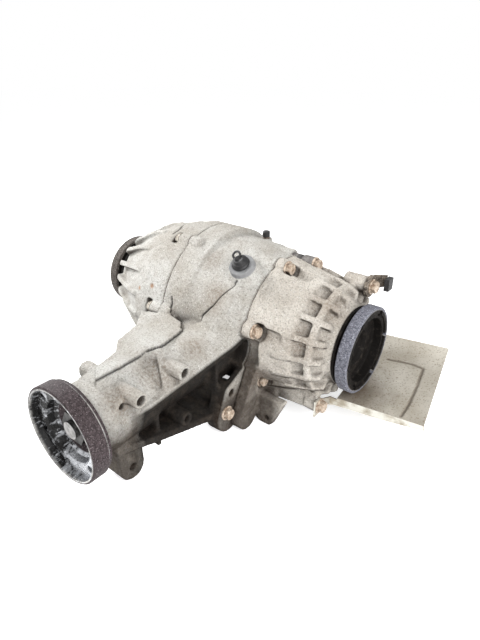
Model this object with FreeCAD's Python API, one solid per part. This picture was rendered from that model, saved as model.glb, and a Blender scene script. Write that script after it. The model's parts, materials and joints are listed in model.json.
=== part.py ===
import FreeCAD, Part
import math
import os
from itertools import combinations

from FreeCAD import Rotation, Vector

# A rear differential in millimetres.
# While it is modelled, X = 0 is the plane of the pinion's axis, X runs along the output shafts to the
# right, -Y points to the input flange and Z is up. The output shafts turn about Y = Z = 0. At the end every
# piece moves by -RIGHT_FACE along X, so the origin is the centre of the right output flange's face.

# Main sizes
RIGHT_FACE = 184.0
LEFT_FACE = -227.0
INPUT_FACE = -301.0
HYPOID_OFFSET = 27.0
PINION_Z = -HYPOID_OFFSET
FLOOR_Z = -110.0

# Fits
RUNNING_FIT = 0.05
LOOSE_GAP = 0.4
SEAL_FILM = 0.05
CLEARANCE_HOLE = 0.4

# Case joints: the ring gear's cover on the left and the ribbed cover on the right
LEFT_JOINT = -60.0
RIGHT_JOINT = 63.0
GASKET = 0.6
WALL = 8.0
BARREL_R = 101.0
BARREL_RIGHT_R = 88.0
BARREL_MID_R = 97.0
BULGE_R = BARREL_R + 3.2
BULGE_Y = 4.8
BULGE_LEFT = -86.0
BULGE_RIGHT = -20.0
LEFT_LAND = 8.5
RIGHT_LAND = 21.0
LEFT_OPENING_R = BARREL_R - LEFT_LAND
RIGHT_OPENING_R = BARREL_RIGHT_R - RIGHT_LAND

LEFT_BOLT_CIRCLE_R = BARREL_R - 3.0
LEFT_BOLT_COUNT = 6
LEFT_BOLT_START = 52.0
LEFT_LUG_R = 10.0
LEFT_LUG_DEPTH = 18.0
LEFT_NICHE = 12.0
LEFT_DOWEL_ANGLES = [98.0, 278.0]

RIGHT_BOLT_CIRCLE_R = BARREL_RIGHT_R - 4.5
RIGHT_BOLT_ANGLES = [100.6, 163.6, 219.0, 285.0, 342.0, 35.0]
RIGHT_LUG_R = 11.0
RIGHT_LUG_DEPTH = 22.0
RIGHT_FLANGE = 12.0
RIGHT_DOWEL_ANGLES = [65.0, 245.0]
DOWEL_R = 3.0
SPOTFACE_R = 11.0
SPOTFACE = 12.0
SOCKET_WAY_R = 8.2
SOCKET_WAY = 34.0

# Hubs that hold the output shafts' seals
HUB_R = 50.0
SEAL_BORE_R = 40.0
SEAL_WIDTH = 10.0
RIGHT_HUB_END = 162.0
LEFT_HUB_END = -202.0

# Outer lines of the covers as (along, radius), with the ribs on them
RIGHT_SKIN = [(RIGHT_JOINT + GASKET, BARREL_RIGHT_R), (84.0, BARREL_RIGHT_R - 3.5), (107.0, BARREL_RIGHT_R - 9.0),
              (121.0, BARREL_RIGHT_R - 12.5), (124.5, BARREL_RIGHT_R - 19.0), (140.0, BARREL_RIGHT_R - 24.0),
              (147.0, BARREL_RIGHT_R - 28.0), (156.0, HUB_R + 2.0), (158.0, HUB_R), (RIGHT_HUB_END, HUB_R)]
RIGHT_RIB_LINE = [(100.0, BARREL_RIGHT_R - 6.0), (107.0, BARREL_RIGHT_R - 7.5), (129.0, BARREL_RIGHT_R - 12.5),
                  (146.0, BARREL_RIGHT_R - 17.0), (157.0, HUB_R + 15.0)]
RIGHT_RIBS = 18
RIGHT_RIB_START = 118.0
RIGHT_RIB = 7.5
RING_RIB = [(139.0, BARREL_RIGHT_R - 16.0), (146.0, BARREL_RIGHT_R - 18.0)]
LEFT_SKIN = [(LEFT_HUB_END, HUB_R), (-198.0, HUB_R + 0.5), (-190.0, HUB_R + 7.0), (-172.0, BARREL_R - 33.0),
             (-156.0, BARREL_R - 23.0), (-137.0, BARREL_R - 13.0), (-117.0, BARREL_R - 5.0), (-100.0, BARREL_R),
             (LEFT_JOINT - GASKET, BARREL_R)]
LEFT_RIB_LINE = [(-200.0, HUB_R + 11.0), (-196.0, HUB_R + 15.0), (-188.0, HUB_R + 19.5), (-172.0, BARREL_R - 24.0),
                 (-156.0, BARREL_R - 15.5), (-137.0, BARREL_R - 7.5), (-120.0, BARREL_R - 3.5)]
LEFT_RIBS = 18
LEFT_RIB_START = 107.0
LEFT_RIB = 7.5

# Output flanges
OUTPUT_R = 54.0
OUTPUT_RIM = 14.5
OUTPUT_RECESS_R = 40.5
OUTPUT_STEP_R = 46.0
OUTPUT_STEP = 1.6
OUTPUT_RECESS = 14.0
OUTPUT_CUP_R = 20.0
OUTPUT_CUP = 24.0
OUTPUT_HUB_R = 28.0
OUTPUT_PCD = 94.0
OUTPUT_HOLE_R = 4.25
OUTPUT_HOLES = 6
STUB_R = 15.0
SPLINE_R = 13.0
DUST_RING_R = 50.0
DUST_RING = 3.2

# Input flange
INPUT_R = 55.5
INPUT_BACK_R = 53.0
INPUT_RIM = 18.0
INPUT_BACK = 5.0
INPUT_RIM_WALL = 4.5
INPUT_RECESS = 8.0
INPUT_CUP_R = 36.0
INPUT_CUP_FLOOR = -274.0
INPUT_SLEEVE_R = 33.0
INPUT_HUB_R = 22.0
INPUT_PCD = 88.0
INPUT_HOLE_R = 4.25
INPUT_HOLES = 6

# Hypoid pair
RING_TEETH = 41
PINION_TEETH = 11
GEAR_TOE = 54.0
RING_BACK = -48.0
RING_R = LEFT_OPENING_R - 2.5
GEAR_HEEL = RING_R - 4.0
RING_BORE_R = 48.0
RING_BOLT_R = 62.0
RING_BOLTS = 10
HYPOID_ADDENDUM = 0.041
HYPOID_DEDENDUM = 0.062
HYPOID_TOOTH = 0.345
FLANK_ANGLE = 20.0

# Differential gears
SIDE_TEETH = 14
SPIDER_TEETH = 10
CONE_TOE = 22.0
CONE_HEEL = 34.0
BEVEL_ADDENDUM = 0.075
BEVEL_DEDENDUM = 0.105
BEVEL_TOOTH = 0.42
GEAR_CAVITY_R = 38.0
GEAR_CAVITY_HALF = 31.0
SIDE_HUB_R = 19.0
SIDE_POCKET_R = 31.0
SIDE_BACK = 29.7
CASE_R = 48.0
CASE_END = 48.0
CROSS_PIN_R = 8.0
THRUST_WASHER = 1.2

# Carrier bearings, and the two on the pinion
CARRIER_BEARING_R = 40.0
TRUNNION_R = 22.5
CARRIER_BEARING_W = 20.0
RIGHT_BEARING = 108.0
LEFT_BEARING = -108.0
HEAD_BEARING = -GEAR_HEEL - 6.0
HEAD_BEARING_W = 22.0
HEAD_BEARING_R = 37.0
HEAD_JOURNAL_R = 18.0
TAIL_BEARING = -206.0
TAIL_BEARING_W = 20.0
TAIL_BEARING_R = 34.0
TAIL_JOURNAL_R = 17.0
BEARING_ANGLE = 12.0
SHIM = 1.5

# Neck
NECK_PROFILE = [(-273.5, 40.0), (-262.0, 42.0), (-225.0, 41.0), (-203.0, 40.0), (-192.0, 36.0), (-125.0, 36.0),
                (-116.0, 43.0), (-60.0, 43.0)]
NECK_BORE_R = 30.0
NOSE_END = -273.5
INPUT_SEAL = -264.0
BOSS_Z = 5.0
BOSS_R = 9.0
BOSS_HOLE_R = 5.5
BOSS_END_X = 55.0
FRONT_BOSS_Y = -237.0
REAR_BOSS_Y = -175.0
FRONT_HOLE_DEPTH = 25.0
REAR_HOLE_DEPTH = 22.0
LOWER_BOSS_X = 51.0
LOWER_BOSS_Y = -173.0
LOWER_BOSS_Z = -60.0
NOSE_LUG_Y = -241.0
NOSE_LUG_Z = -94.0
NOSE_LUG_R = 16.0
NOSE_LUG_X0 = 2.0
NOSE_LUG_X1 = 32.0
NOSE_HOLE_R = 4.5
UPPER_SHELF = [(-10, -262), (34, -262), (46, -216), (60, -100), (60, -50), (-10, -50)]
LOWER_SHELF = [(0, -250), (34, -250), (45, -200), (58, -120), (58, -60), (0, -60)]
LEFT_GUSSET = [(11, -258), (13, -204), (7, -187), (19, -177), (4, -129), (-12, -111), (-45, -100), (-60, -70),
               (-98, -40), (-98, -98), (-92, -108), (-57, -147), (-43, -187), (-22, -206), (-12, -240)]
SADDLE_ROOT = [(5, -96, 22), (27, -81, 55), (41, -64, 74), (62, -60, 66), (62, -76, 17), (30, -113, 17),
               (57, -100, 11), (5, -60, -10), (62, -60, 10), (36, -60, 66)]
SADDLE_SHELF = [(5, -96, 22), (4, -129, 22), (15, -180, 18), (46, -200, -14), (62, -76, 17), (62, -70, 8),
                (45, -196, -22), (62, -60, 10), (8, -180, -30), (8, -60, -20)]

# Joint flange of the right cover at the lower front: circles of the yz plane as (y, z, radius)
LUG_ROOT = (-64.0, -50.0, 25.0)
LUG_HOLE = (-107.0, -56.0, 13.0)
LUG_BOLT = (-118.0, -79.0, 11.0)
LUG_OUTER = (-112.0, -89.0, 21.0)
LUG_COVER = (-95.0, -93.5, 16.5)
LUG_HOLE_R = 4.5
NOTCH = (-98.0, -4.0, 25.0)
NOTCH_START = 36.0
RIM = 10.0

# Lugs and arms of the right cover
EAR = [(74, -105), (82, -110), (97, -110), (101, -106), (119, -66), (74, -66)]
EAR_Y = (-75.0, -65.0)
EAR_WEB = [(74, -84), (92, -84), (92, -68), (74, -68)]
EAR_HOLE = (93.0, -100.0)
ARM = [(77, -82), (149, -77), (149, -56), (77, -65)]
ARM_Y = (-50.0, -40.0)
ARM_WEB = [(77, -70), (149, -62), (149, -30), (120, -48), (77, -56)]
ARM_END = (149.6, -47.0, -68.0)
ARM_END_R = 9.0
REAR_LUG = (128.0, 38.0, 64.0)
REAR_LUG_R = 11.0
REAR_LUG_LENGTH = 30.0
FOOT_Y = 28.0
FOOT_X = (-72.0, -44.0)

# Small parts
M8 = 4.0
M8_AF = 13.0
M10 = 5.0
M10_AF = 16.0
TOP_SLEEVE = (25.0, BARREL_RIGHT_R - 9.5)
SLEEVE_R = 9.0
SLEEVE_START = 58.0
SLEEVE_END = 90.0
FILLER_ANGLE = 122.0
FILLER_X = 37.0
FILLER_BOSS_R = 16.0
FILLER_PLUG_R = 11.0
FILLER_TOP = BARREL_MID_R + 10.0
DRAIN_X = 0.0
DRAIN_Y = 30.0
DRAIN_SEAT = -BARREL_MID_R - 1.5
DRAIN_R = 7.0
DRAIN_WASHER = 1.5
BREATHER_X = 2.0
BREATHER_Y = 42.0
BREATHER_R = 5.0
BREATHER_SEAT = BARREL_MID_R - 7.0
LOCK_PIN_R = 2.0
LOCK_PIN_Z = 43.0
CIRCLIP_X = 13.4
CIRCLIP_W = 1.2
SHAFT_SPLINE_R = 15.0

# Heat shield: a flat plate given by its height at one point and its two slopes, a lip and a tab
SHEET = 2.0
SHIELD_POINT = (154.0, -18.0, -68.9)
SHIELD_SLOPE = (0.113, 0.249)
SHIELD_CORNERS = [(161, -20), (269, -20), (247, 112), (161, 112)]
SHIELD_LIP = [(150, -71), (161, -71), (161, -68.5), (269, -56.5), (270, -63), (218, -72.5), (157, -81), (150, -84)]
SHIELD_TAB = [(-57, -80), (-20, -80), (-20, -71), (-38, -63), (-44, -58), (-57, -58)]

# Bracket and rubber buffer on the rear lug
BRACKET = 4.0
BRACKET_R = 13.5
BRACKET_LENGTH = 17.0
BUFFER = (6.0, 12.0, 15.0)

PINION_ANGLE = math.degrees(math.atan2(PINION_TEETH, RING_TEETH))
SIDE_ANGLE = math.degrees(math.atan2(SIDE_TEETH, SPIDER_TEETH))
SPIDER_ANGLE = 90 - SIDE_ANGLE
PINION_PITCH_HALF = math.pi * math.sin(math.radians(PINION_ANGLE)) / PINION_TEETH * HYPOID_TOOTH
SIDE_PITCH_HALF = math.pi * math.sin(math.radians(SIDE_ANGLE)) / SIDE_TEETH * BEVEL_TOOTH
AXIS_X = Vector(1, 0, 0)
AXIS_Y = Vector(0, 1, 0)
AXIS_Z = Vector(0, 0, 1)
CENTRE = Vector(0, 0, 0)
PINION_CENTRE = Vector(0, 0, PINION_Z)


# General shapes

def fused(first, *others):
    """One clean solid of several that overlap."""
    return first.multiFuse(list(others)).removeSplitter()


def turned(profile, about="x"):
    """A solid turned about the output axis or the pinion's axis from (along, radius) points."""
    if about == "x":
        corners = [Vector(along, 0, radius) for along, radius in profile]
        centre, axis = CENTRE, AXIS_X
    else:
        corners = [Vector(0, along, PINION_Z + radius) for along, radius in profile]
        centre, axis = PINION_CENTRE, AXIS_Y
    face = Part.Face(Part.makePolygon(corners + corners[:1]))
    return face.revolve(centre, axis, 360)


def barrel(profile, about="x"):
    """A solid down to its axis, under an outer line of (along, radius) points."""
    return turned([(profile[0][0], 0)] + profile + [(profile[-1][0], 0)], about)


def rod(start, direction, radius, length):
    return Part.makeCylinder(radius, length, start, direction)


def tube(start, direction, outer, inner, length):
    return rod(start, direction, outer, length).cut(rod(start, direction, inner, length))


def box(low, high):
    size = high.sub(low)
    return Part.makeBox(size.x, size.y, size.z, low)


def prism(points, plane, low, high):
    """A flat outline on a plane, yz, xz or xy, that runs from low to high along the third axis."""
    place = {"yz": lambda a, b: Vector(low, a, b), "xz": lambda a, b: Vector(a, low, b),
             "xy": lambda a, b: Vector(a, b, low)}[plane]
    run = {"yz": AXIS_X, "xz": AXIS_Y, "xy": AXIS_Z}[plane]
    corners = [place(a, b) for a, b in points]
    return Part.Face(Part.makePolygon(corners + corners[:1])).extrude(run * (high - low))


def hull(points):
    """The convex solid around a few points, one flat face for each plane that bounds them."""
    corners = [Vector(*point) for point in points]
    faces = {}
    for first, second, third in combinations(corners, 3):
        normal = (second - first).cross(third - first)
        if normal.Length < 1e-6:
            continue
        normal.normalize()
        heights = [normal.dot(corner - first) for corner in corners]
        if max(heights) > 1e-6 and min(heights) < -1e-6:
            continue
        ring = [corner for corner, height in zip(corners, heights) if abs(height) < 1e-6]
        key = tuple(sorted(corners.index(corner) for corner in ring))
        if key in faces:
            continue
        middle = sum(ring, Vector()) * (1.0 / len(ring))
        east = (ring[0] - middle).normalize()
        north = normal.cross(east)
        ring.sort(key=lambda corner: math.atan2((corner - middle).dot(north), (corner - middle).dot(east)))
        faces[key] = Part.Face(Part.makePolygon(ring + ring[:1]))
    solid = Part.Solid(Part.Shell(list(faces.values())))
    return solid if solid.Volume > 0 else solid.reversed()


def pill(first, first_r, second, second_r, low, high):
    """A plate along X round two circles of the yz plane and the straight sides that touch both."""
    gap = math.hypot(second[0] - first[0], second[1] - first[1])
    heading = math.atan2(second[1] - first[1], second[0] - first[0])
    lean = math.acos((first_r - second_r) / gap)
    corners = []
    for sign in (1, -1):
        turn = heading + sign * lean
        corners.append([(centre[0] + radius * math.cos(turn), centre[1] + radius * math.sin(turn))
                        for centre, radius in ((first, first_r), (second, second_r))])
    sides = prism([corners[0][0], corners[0][1], corners[1][1], corners[1][0]], "yz", low, high)
    discs = [rod(Vector(low, centre[0], centre[1]), AXIS_X, radius, high - low)
             for centre, radius in ((first, first_r), (second, second_r))]
    return fused(sides, *discs)


def aimed(shape, point, direction):
    """A shape built from the origin along +X, set at a point and turned to a direction."""
    shape = shape.copy()
    shape.Placement = FreeCAD.Placement(point, Rotation(AXIS_X, direction))
    return shape


def spun(shape, degrees, axis=AXIS_X, centre=CENTRE):
    shape = shape.copy()
    shape.rotate(centre, axis, degrees)
    return shape


def around(shape, count, start=0.0, axis=AXIS_X, centre=CENTRE):
    """Copies of a shape, evenly round an axis."""
    return [spun(shape, start + 360.0 * i / count, axis, centre) for i in range(count)]


def on_circle(x, radius, degrees):
    """A point of a circle about the output axis: 0 degrees is +Y, 90 degrees is up."""
    turn = math.radians(degrees)
    return Vector(x, radius * math.cos(turn), radius * math.sin(turn))


def hexagon(across, height):
    """A hexagonal prism from the origin along +X."""
    reach = across / math.sqrt(3)
    corners = [Vector(0, reach * math.cos(math.radians(60 * i)), reach * math.sin(math.radians(60 * i)))
               for i in range(6)]
    return Part.Face(Part.makePolygon(corners + corners[:1])).extrude(AXIS_X * height)


def bolt(radius, across, length, washer=2.0):
    """A flanged hexagon bolt: its seat is at the origin and its head stands along +X."""
    head = hexagon(across, washer + 1.4 * radius)
    crown = barrel([(0, 0.72 * across), (0.8 * washer, 0.72 * across), (washer, 0.62 * across)])
    top = barrel([(0, across), (washer + radius, 0.62 * across), (washer + 1.4 * radius, 0.50 * across)])
    shank = rod(CENTRE, AXIS_X * -1, radius, length)
    return fused(head.common(top), crown, shank)


def wedge_tooth(gear, cone_angle, apex, side, toe, heel, heights, halves):
    """A straight bevel tooth that shrinks towards the apex of its pitch cone.

    gear is the axis and side the radial direction of the tooth. heights are the root and tip off the
    pitch cone and halves the half widths there, all as shares of the cone distance.
    """
    turn = math.radians(cone_angle)
    along = gear * math.cos(turn) + side * math.sin(turn)
    off = side * math.cos(turn) - gear * math.sin(turn)
    across = gear.cross(side)
    ends = []
    for reach in (toe, heel):
        ends.append([apex + (along + off * height + across * (half * sign)) * reach
                     for height, half, sign in ((heights[0], halves[0], -1), (heights[0], halves[0], 1),
                                                (heights[1], halves[1], 1), (heights[1], halves[1], -1))])
    rings = [Part.makePolygon(end + end[:1]) for end in ends]
    return Part.makeLoft(rings, True, True)


def tooth_halves(pitch_half, root, tip):
    """Half widths of a tooth at its root and tip, from the half width on the pitch line."""
    lean = math.tan(math.radians(FLANK_ANGLE))
    return (pitch_half - root * lean, pitch_half - tip * lean)


def taper_bearing(bore_r, outer_r, width, wide_first=True):
    """Cup, cone and rollers of a taper roller bearing from the origin along +X."""
    slope = math.tan(math.radians(BEARING_ANGLE)) * (-1 if wide_first else 1)
    middle = 0.5 * (bore_r + outer_r)
    roller_r = 0.21 * (outer_r - bore_r)
    offset = (roller_r + RUNNING_FIT) / math.cos(math.radians(BEARING_ANGLE))
    rise = slope * width / 2
    cup = turned([(0, outer_r), (width, outer_r), (width, middle + rise + offset), (0, middle - rise + offset)])
    cone = turned([(0, bore_r), (width, bore_r), (width, middle + rise - offset), (0, middle - rise - offset)])
    run = Vector(1, 0, slope)
    run.normalize()
    length = 0.68 * width
    centre = Vector(width / 2, 0, middle)
    roller = rod(centre - run * (length / 2), run, roller_r, length)
    count = int(math.pi / math.asin(1.12 * roller_r / middle))
    rollers = Part.makeCompound(around(roller, count))
    return cup, cone, rollers


# The hypoid pair

def hypoid_halves(root, tip):
    return tooth_halves(PINION_PITCH_HALF, root, tip)


def drive_pinion():
    """The conical pinion with its journals, spline and thread. A gap faces the ring gear at rest."""
    lengthen = 1 / math.cos(math.radians(PINION_ANGLE))
    rate = math.tan(math.radians(PINION_ANGLE))
    root = HYPOID_DEDENDUM * lengthen * lengthen
    head = barrel([(-GEAR_HEEL, GEAR_HEEL * (rate - root)), (-GEAR_TOE, GEAR_TOE * (rate - root))], "y")
    tooth = wedge_tooth(AXIS_Y * -1, PINION_ANGLE, PINION_CENTRE, AXIS_X * -1, GEAR_TOE * lengthen,
                        GEAR_HEEL * lengthen, (-1.3 * HYPOID_DEDENDUM, HYPOID_ADDENDUM),
                        hypoid_halves(-1.3 * HYPOID_DEDENDUM, HYPOID_ADDENDUM))
    teeth = around(tooth, PINION_TEETH, 180.0 / PINION_TEETH, AXIS_Y, PINION_CENTRE)
    limits = barrel([(-GEAR_HEEL, GEAR_HEEL), (-GEAR_TOE, GEAR_HEEL)], "y")
    head = fused(head, *[tooth.common(limits) for tooth in teeth])
    shaft = barrel([
        (INPUT_CUP_FLOOR - 15, 10), (INPUT_CUP_FLOOR + 3, 10), (INPUT_CUP_FLOOR + 3, SHAFT_SPLINE_R),
        (TAIL_BEARING - TAIL_BEARING_W, SHAFT_SPLINE_R), (TAIL_BEARING - TAIL_BEARING_W, TAIL_JOURNAL_R),
        (TAIL_BEARING + 2, TAIL_JOURNAL_R), (TAIL_BEARING + 2, SHAFT_SPLINE_R + 2),
        (HEAD_BEARING - HEAD_BEARING_W - 4, SHAFT_SPLINE_R + 2), (HEAD_BEARING - HEAD_BEARING_W - 4, HEAD_JOURNAL_R),
        (HEAD_BEARING, HEAD_JOURNAL_R), (HEAD_BEARING, HEAD_JOURNAL_R + 3.5), (-GEAR_HEEL, HEAD_JOURNAL_R + 1)], "y")
    return fused(head, shaft)


def ring_face(radius):
    """Where the ring gear's pitch surface lies along X at a radius: it follows the offset pinion."""
    return -math.sqrt(radius * radius - HYPOID_OFFSET ** 2) * math.tan(math.radians(PINION_ANGLE))


def ring_gear():
    """The crown gear, with teeth that run past the centre at the pinion's offset."""
    lengthen = 1 / math.cos(math.radians(PINION_ANGLE))
    toe_r = math.hypot(GEAR_TOE, HYPOID_OFFSET)
    depth = HYPOID_DEDENDUM
    mid_r = 0.5 * (toe_r + RING_R)
    face = [(ring_face(r) - depth * r, r) for r in (toe_r, mid_r, RING_R)]
    blank = turned([(RING_BACK, RING_BORE_R), (face[0][0] - 2, RING_BORE_R), (face[0][0] - 2, toe_r - 3)] + face
                   + [(RING_BACK + 6, RING_R), (RING_BACK, RING_R - 8)])
    tooth = wedge_tooth(AXIS_X * -1, 90 - PINION_ANGLE, PINION_CENTRE, AXIS_Y * -1, GEAR_TOE * lengthen - 2,
                        GEAR_HEEL * lengthen + 2, (-1.5 * HYPOID_DEDENDUM, HYPOID_ADDENDUM),
                        hypoid_halves(-1.5 * HYPOID_DEDENDUM, HYPOID_ADDENDUM))
    limits = tube(Vector(RING_BACK + 1, 0, 0), AXIS_X, RING_R - 0.4, toe_r + 0.4, -RING_BACK)
    teeth = Part.makeCompound([piece.common(limits) for piece in around(tooth, RING_TEETH)])
    gear = blank.fuse(teeth)
    hole = rod(Vector(RING_BACK, RING_BOLT_R, 0), AXIS_X, M10, 14)
    return gear.cut(Part.makeCompound(around(hole, RING_BOLTS)))


# The differential gears

def bevel_halves(root, tip):
    return tooth_halves(SIDE_PITCH_HALF, root, tip)


def cone_point(angle, reach, height):
    """A point (along, radius) off a pitch cone."""
    turn = math.radians(angle)
    return (reach * (math.cos(turn) - height * math.sin(turn)), reach * (math.sin(turn) + height * math.cos(turn)))


def side_gear(side):
    """A side gear in the right (side 1) or left (side -1) of the case, with a gap facing each spider gear."""
    toe = cone_point(SIDE_ANGLE, CONE_TOE, -BEVEL_DEDENDUM)
    heel = cone_point(SIDE_ANGLE, CONE_HEEL, -BEVEL_DEDENDUM)
    blank = turned([(toe[0], SPLINE_R), toe, heel, (heel[0] + 1.5, heel[1] + 2.5), (SIDE_BACK, heel[1] + 2.5),
                    (SIDE_BACK, SIDE_HUB_R), (CASE_END - 2, SIDE_HUB_R), (CASE_END - 2, SPLINE_R)])
    heights = (-1.3 * BEVEL_DEDENDUM, BEVEL_ADDENDUM)
    tooth = wedge_tooth(AXIS_X, SIDE_ANGLE, CENTRE, AXIS_Z, CONE_TOE, CONE_HEEL, heights, bevel_halves(*heights))
    gear = fused(blank, *around(tooth, SIDE_TEETH, 180.0 / SIDE_TEETH))
    gear = gear.cut(rod(CENTRE, AXIS_X, SPLINE_R, CASE_END))
    return gear if side > 0 else spun(gear, 180, AXIS_Z)


def spider_gear(side):
    """The upper (side 1) or lower (side -1) spider gear on the cross pin, with a tooth facing each side gear."""
    toe = cone_point(SPIDER_ANGLE, CONE_TOE, -BEVEL_DEDENDUM)
    heel = cone_point(SPIDER_ANGLE, CONE_HEEL, -BEVEL_DEDENDUM)
    blank = turned([(toe[0], CROSS_PIN_R), toe, heel, (heel[0] + 1, heel[1] + 1.5), (GEAR_CAVITY_R, heel[1] + 1.5),
                    (GEAR_CAVITY_R, CROSS_PIN_R)])
    heights = (-1.3 * BEVEL_DEDENDUM, BEVEL_ADDENDUM)
    tooth = wedge_tooth(AXIS_X, SPIDER_ANGLE, CENTRE, AXIS_Z, CONE_TOE, CONE_HEEL, heights, bevel_halves(*heights))
    gear = fused(blank, *around(tooth, SPIDER_TEETH))
    gear = gear.common(Part.makeSphere(GEAR_CAVITY_R - THRUST_WASHER - RUNNING_FIT))
    gear = gear.cut(rod(CENTRE, AXIS_X, CROSS_PIN_R + RUNNING_FIT, GEAR_CAVITY_R))
    return spun(gear, -90 * side, AXIS_Y)


def thrust_washers():
    """Flat washers behind the side gears and dished ones behind the spider gears."""
    flat = tube(Vector(SIDE_BACK + RUNNING_FIT, 0, 0), AXIS_X, SIDE_HUB_R + 9, SIDE_HUB_R + 0.3,
                GEAR_CAVITY_HALF - SIDE_BACK - 2 * RUNNING_FIT)
    shell = Part.makeSphere(GEAR_CAVITY_R).cut(Part.makeSphere(GEAR_CAVITY_R - THRUST_WASHER))
    dished = shell.common(tube(CENTRE, AXIS_Z, 2 * CROSS_PIN_R, CROSS_PIN_R, CASE_R))
    return Part.makeCompound([flat, spun(flat, 180, AXIS_Z), dished, spun(dished, 180, AXIS_X)])


def differential_case():
    """The case that carries the ring gear, with its trunnions, windows and cross pin holes."""
    bearing_end = RIGHT_BEARING + CARRIER_BEARING_W
    left_end = LEFT_BEARING - CARRIER_BEARING_W
    case = barrel([(left_end, TRUNNION_R), (LEFT_BEARING, TRUNNION_R), (LEFT_BEARING, TRUNNION_R + 4),
                   (RING_BACK - 24, TRUNNION_R + 6), (RING_BACK - 9, 44), (RING_BACK - 9, RING_BOLT_R + 10),
                   (RING_BACK, RING_BOLT_R + 10), (RING_BACK, CASE_R), (CASE_END - 8, CASE_R), (CASE_END, CASE_R - 8),
                   (CASE_END + 12, TRUNNION_R + 6), (RIGHT_BEARING, TRUNNION_R + 4), (RIGHT_BEARING, TRUNNION_R),
                   (bearing_end, TRUNNION_R)])
    cavity = Part.makeSphere(GEAR_CAVITY_R).common(
        box(Vector(-GEAR_CAVITY_HALF, -CASE_R, -CASE_R), Vector(GEAR_CAVITY_HALF, CASE_R, CASE_R)))
    seats = rod(Vector(-GEAR_CAVITY_HALF, 0, 0), AXIS_X, SIDE_POCKET_R, 2 * GEAR_CAVITY_HALF)
    shaft_bore = rod(Vector(left_end, 0, 0), AXIS_X, STUB_R + 0.6, bearing_end - left_end)
    hub_bore = rod(Vector(-CASE_END, 0, 0), AXIS_X, SIDE_HUB_R + RUNNING_FIT, 2 * CASE_END)
    window = box(Vector(-22, -CASE_R - 1, -22), Vector(22, CASE_R + 1, 22))
    pin_hole = rod(Vector(0, 0, -CASE_R - 1), AXIS_Z, CROSS_PIN_R, 2 * CASE_R + 2)
    lock_hole = rod(Vector(-12, 0, LOCK_PIN_Z), AXIS_X, LOCK_PIN_R, CASE_END + 12)
    bolt_hole = rod(Vector(RING_BACK - 9, RING_BOLT_R, 0), AXIS_X, M10 + CLEARANCE_HOLE, 9)
    for hole in (cavity, seats, shaft_bore, hub_bore, window, pin_hole, lock_hole):
        case = case.cut(hole)
    return case.cut(Part.makeCompound(around(bolt_hole, RING_BOLTS)))


def cross_pin():
    pin = rod(Vector(0, 0, -CASE_R + 0.5), AXIS_Z, CROSS_PIN_R, 2 * CASE_R - 1)
    return pin.cut(rod(Vector(-12, 0, LOCK_PIN_Z), AXIS_X, LOCK_PIN_R, 24))


def lock_pin():
    return rod(Vector(-12, 0, LOCK_PIN_Z), AXIS_X, LOCK_PIN_R, 44)


def ring_gear_bolts():
    one = aimed(bolt(M10, M10_AF, 22, 1.5), Vector(RING_BACK - 9, RING_BOLT_R, 0), AXIS_X * -1)
    return Part.makeCompound(around(one, RING_BOLTS))


# Flanges and their seals

def output_flange(side):
    """An output flange with its seal hub and stub shaft, for the right (side 1) or left (side -1)."""
    face = RIGHT_FACE if side > 0 else -LEFT_FACE
    hub_end = (RIGHT_HUB_END if side > 0 else -LEFT_HUB_END) - SEAL_WIDTH - 6
    rim_back = face - OUTPUT_RIM
    dust_end = (RIGHT_HUB_END if side > 0 else -LEFT_HUB_END) + LOOSE_GAP + DUST_RING
    chamfer = 1.0
    outer = barrel([(CIRCLIP_X - CIRCLIP_W, SPLINE_R), (CASE_END - 1.5, SPLINE_R), (CASE_END - 1.5, STUB_R),
                    (hub_end, STUB_R), (hub_end + 4, OUTPUT_HUB_R), (dust_end, OUTPUT_HUB_R),
                    (dust_end, DUST_RING_R - 5), (rim_back, DUST_RING_R - 5), (rim_back, OUTPUT_R - chamfer),
                    (rim_back + chamfer, OUTPUT_R), (face - chamfer, OUTPUT_R), (face, OUTPUT_R - chamfer)])
    floor = face - OUTPUT_RECESS
    recess = barrel([(face - OUTPUT_CUP, OUTPUT_CUP_R - 6), (face - OUTPUT_CUP + 5, OUTPUT_CUP_R - 1),
                     (floor - 3, OUTPUT_CUP_R), (floor, OUTPUT_CUP_R + 3), (floor, OUTPUT_RECESS_R - 2),
                     (floor + 2, OUTPUT_RECESS_R), (face - OUTPUT_STEP, OUTPUT_RECESS_R),
                     (face - OUTPUT_STEP, OUTPUT_STEP_R), (face + 1, OUTPUT_STEP_R)])
    socket = aimed(hexagon(10, OUTPUT_CUP), Vector(face - OUTPUT_CUP - 8, 0, 0), AXIS_X)
    hole = rod(Vector(rim_back - 1, 0, OUTPUT_PCD / 2), AXIS_X, OUTPUT_HOLE_R, OUTPUT_RIM + 2)
    groove = tube(Vector(CIRCLIP_X, 0, 0), AXIS_X, SPLINE_R + 1, SPLINE_R - 1.5, CIRCLIP_W)
    flange = outer.cut(recess).cut(socket).cut(groove).cut(Part.makeCompound(around(hole, OUTPUT_HOLES, 30)))
    return flange if side > 0 else spun(flange, 180, AXIS_Z)


def circlip(side):
    ring = tube(Vector(CIRCLIP_X, 0, 0), AXIS_X, SPLINE_R + 2.2, SPLINE_R - 1.5, CIRCLIP_W)
    ring = ring.cut(box(Vector(0, -3, 0), Vector(20, 3, 20)))
    return ring if side > 0 else spun(ring, 180, AXIS_Z)


def dust_ring(side):
    """The pressed ring on an output flange's hub that covers the seal."""
    start = (RIGHT_HUB_END if side > 0 else -LEFT_HUB_END) + LOOSE_GAP
    ring = turned([(start, OUTPUT_HUB_R), (start, DUST_RING_R - 1), (start + 1, DUST_RING_R),
                   (start + DUST_RING, DUST_RING_R), (start + DUST_RING, OUTPUT_HUB_R)])
    return ring if side > 0 else spun(ring, 180, AXIS_Z)


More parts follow.
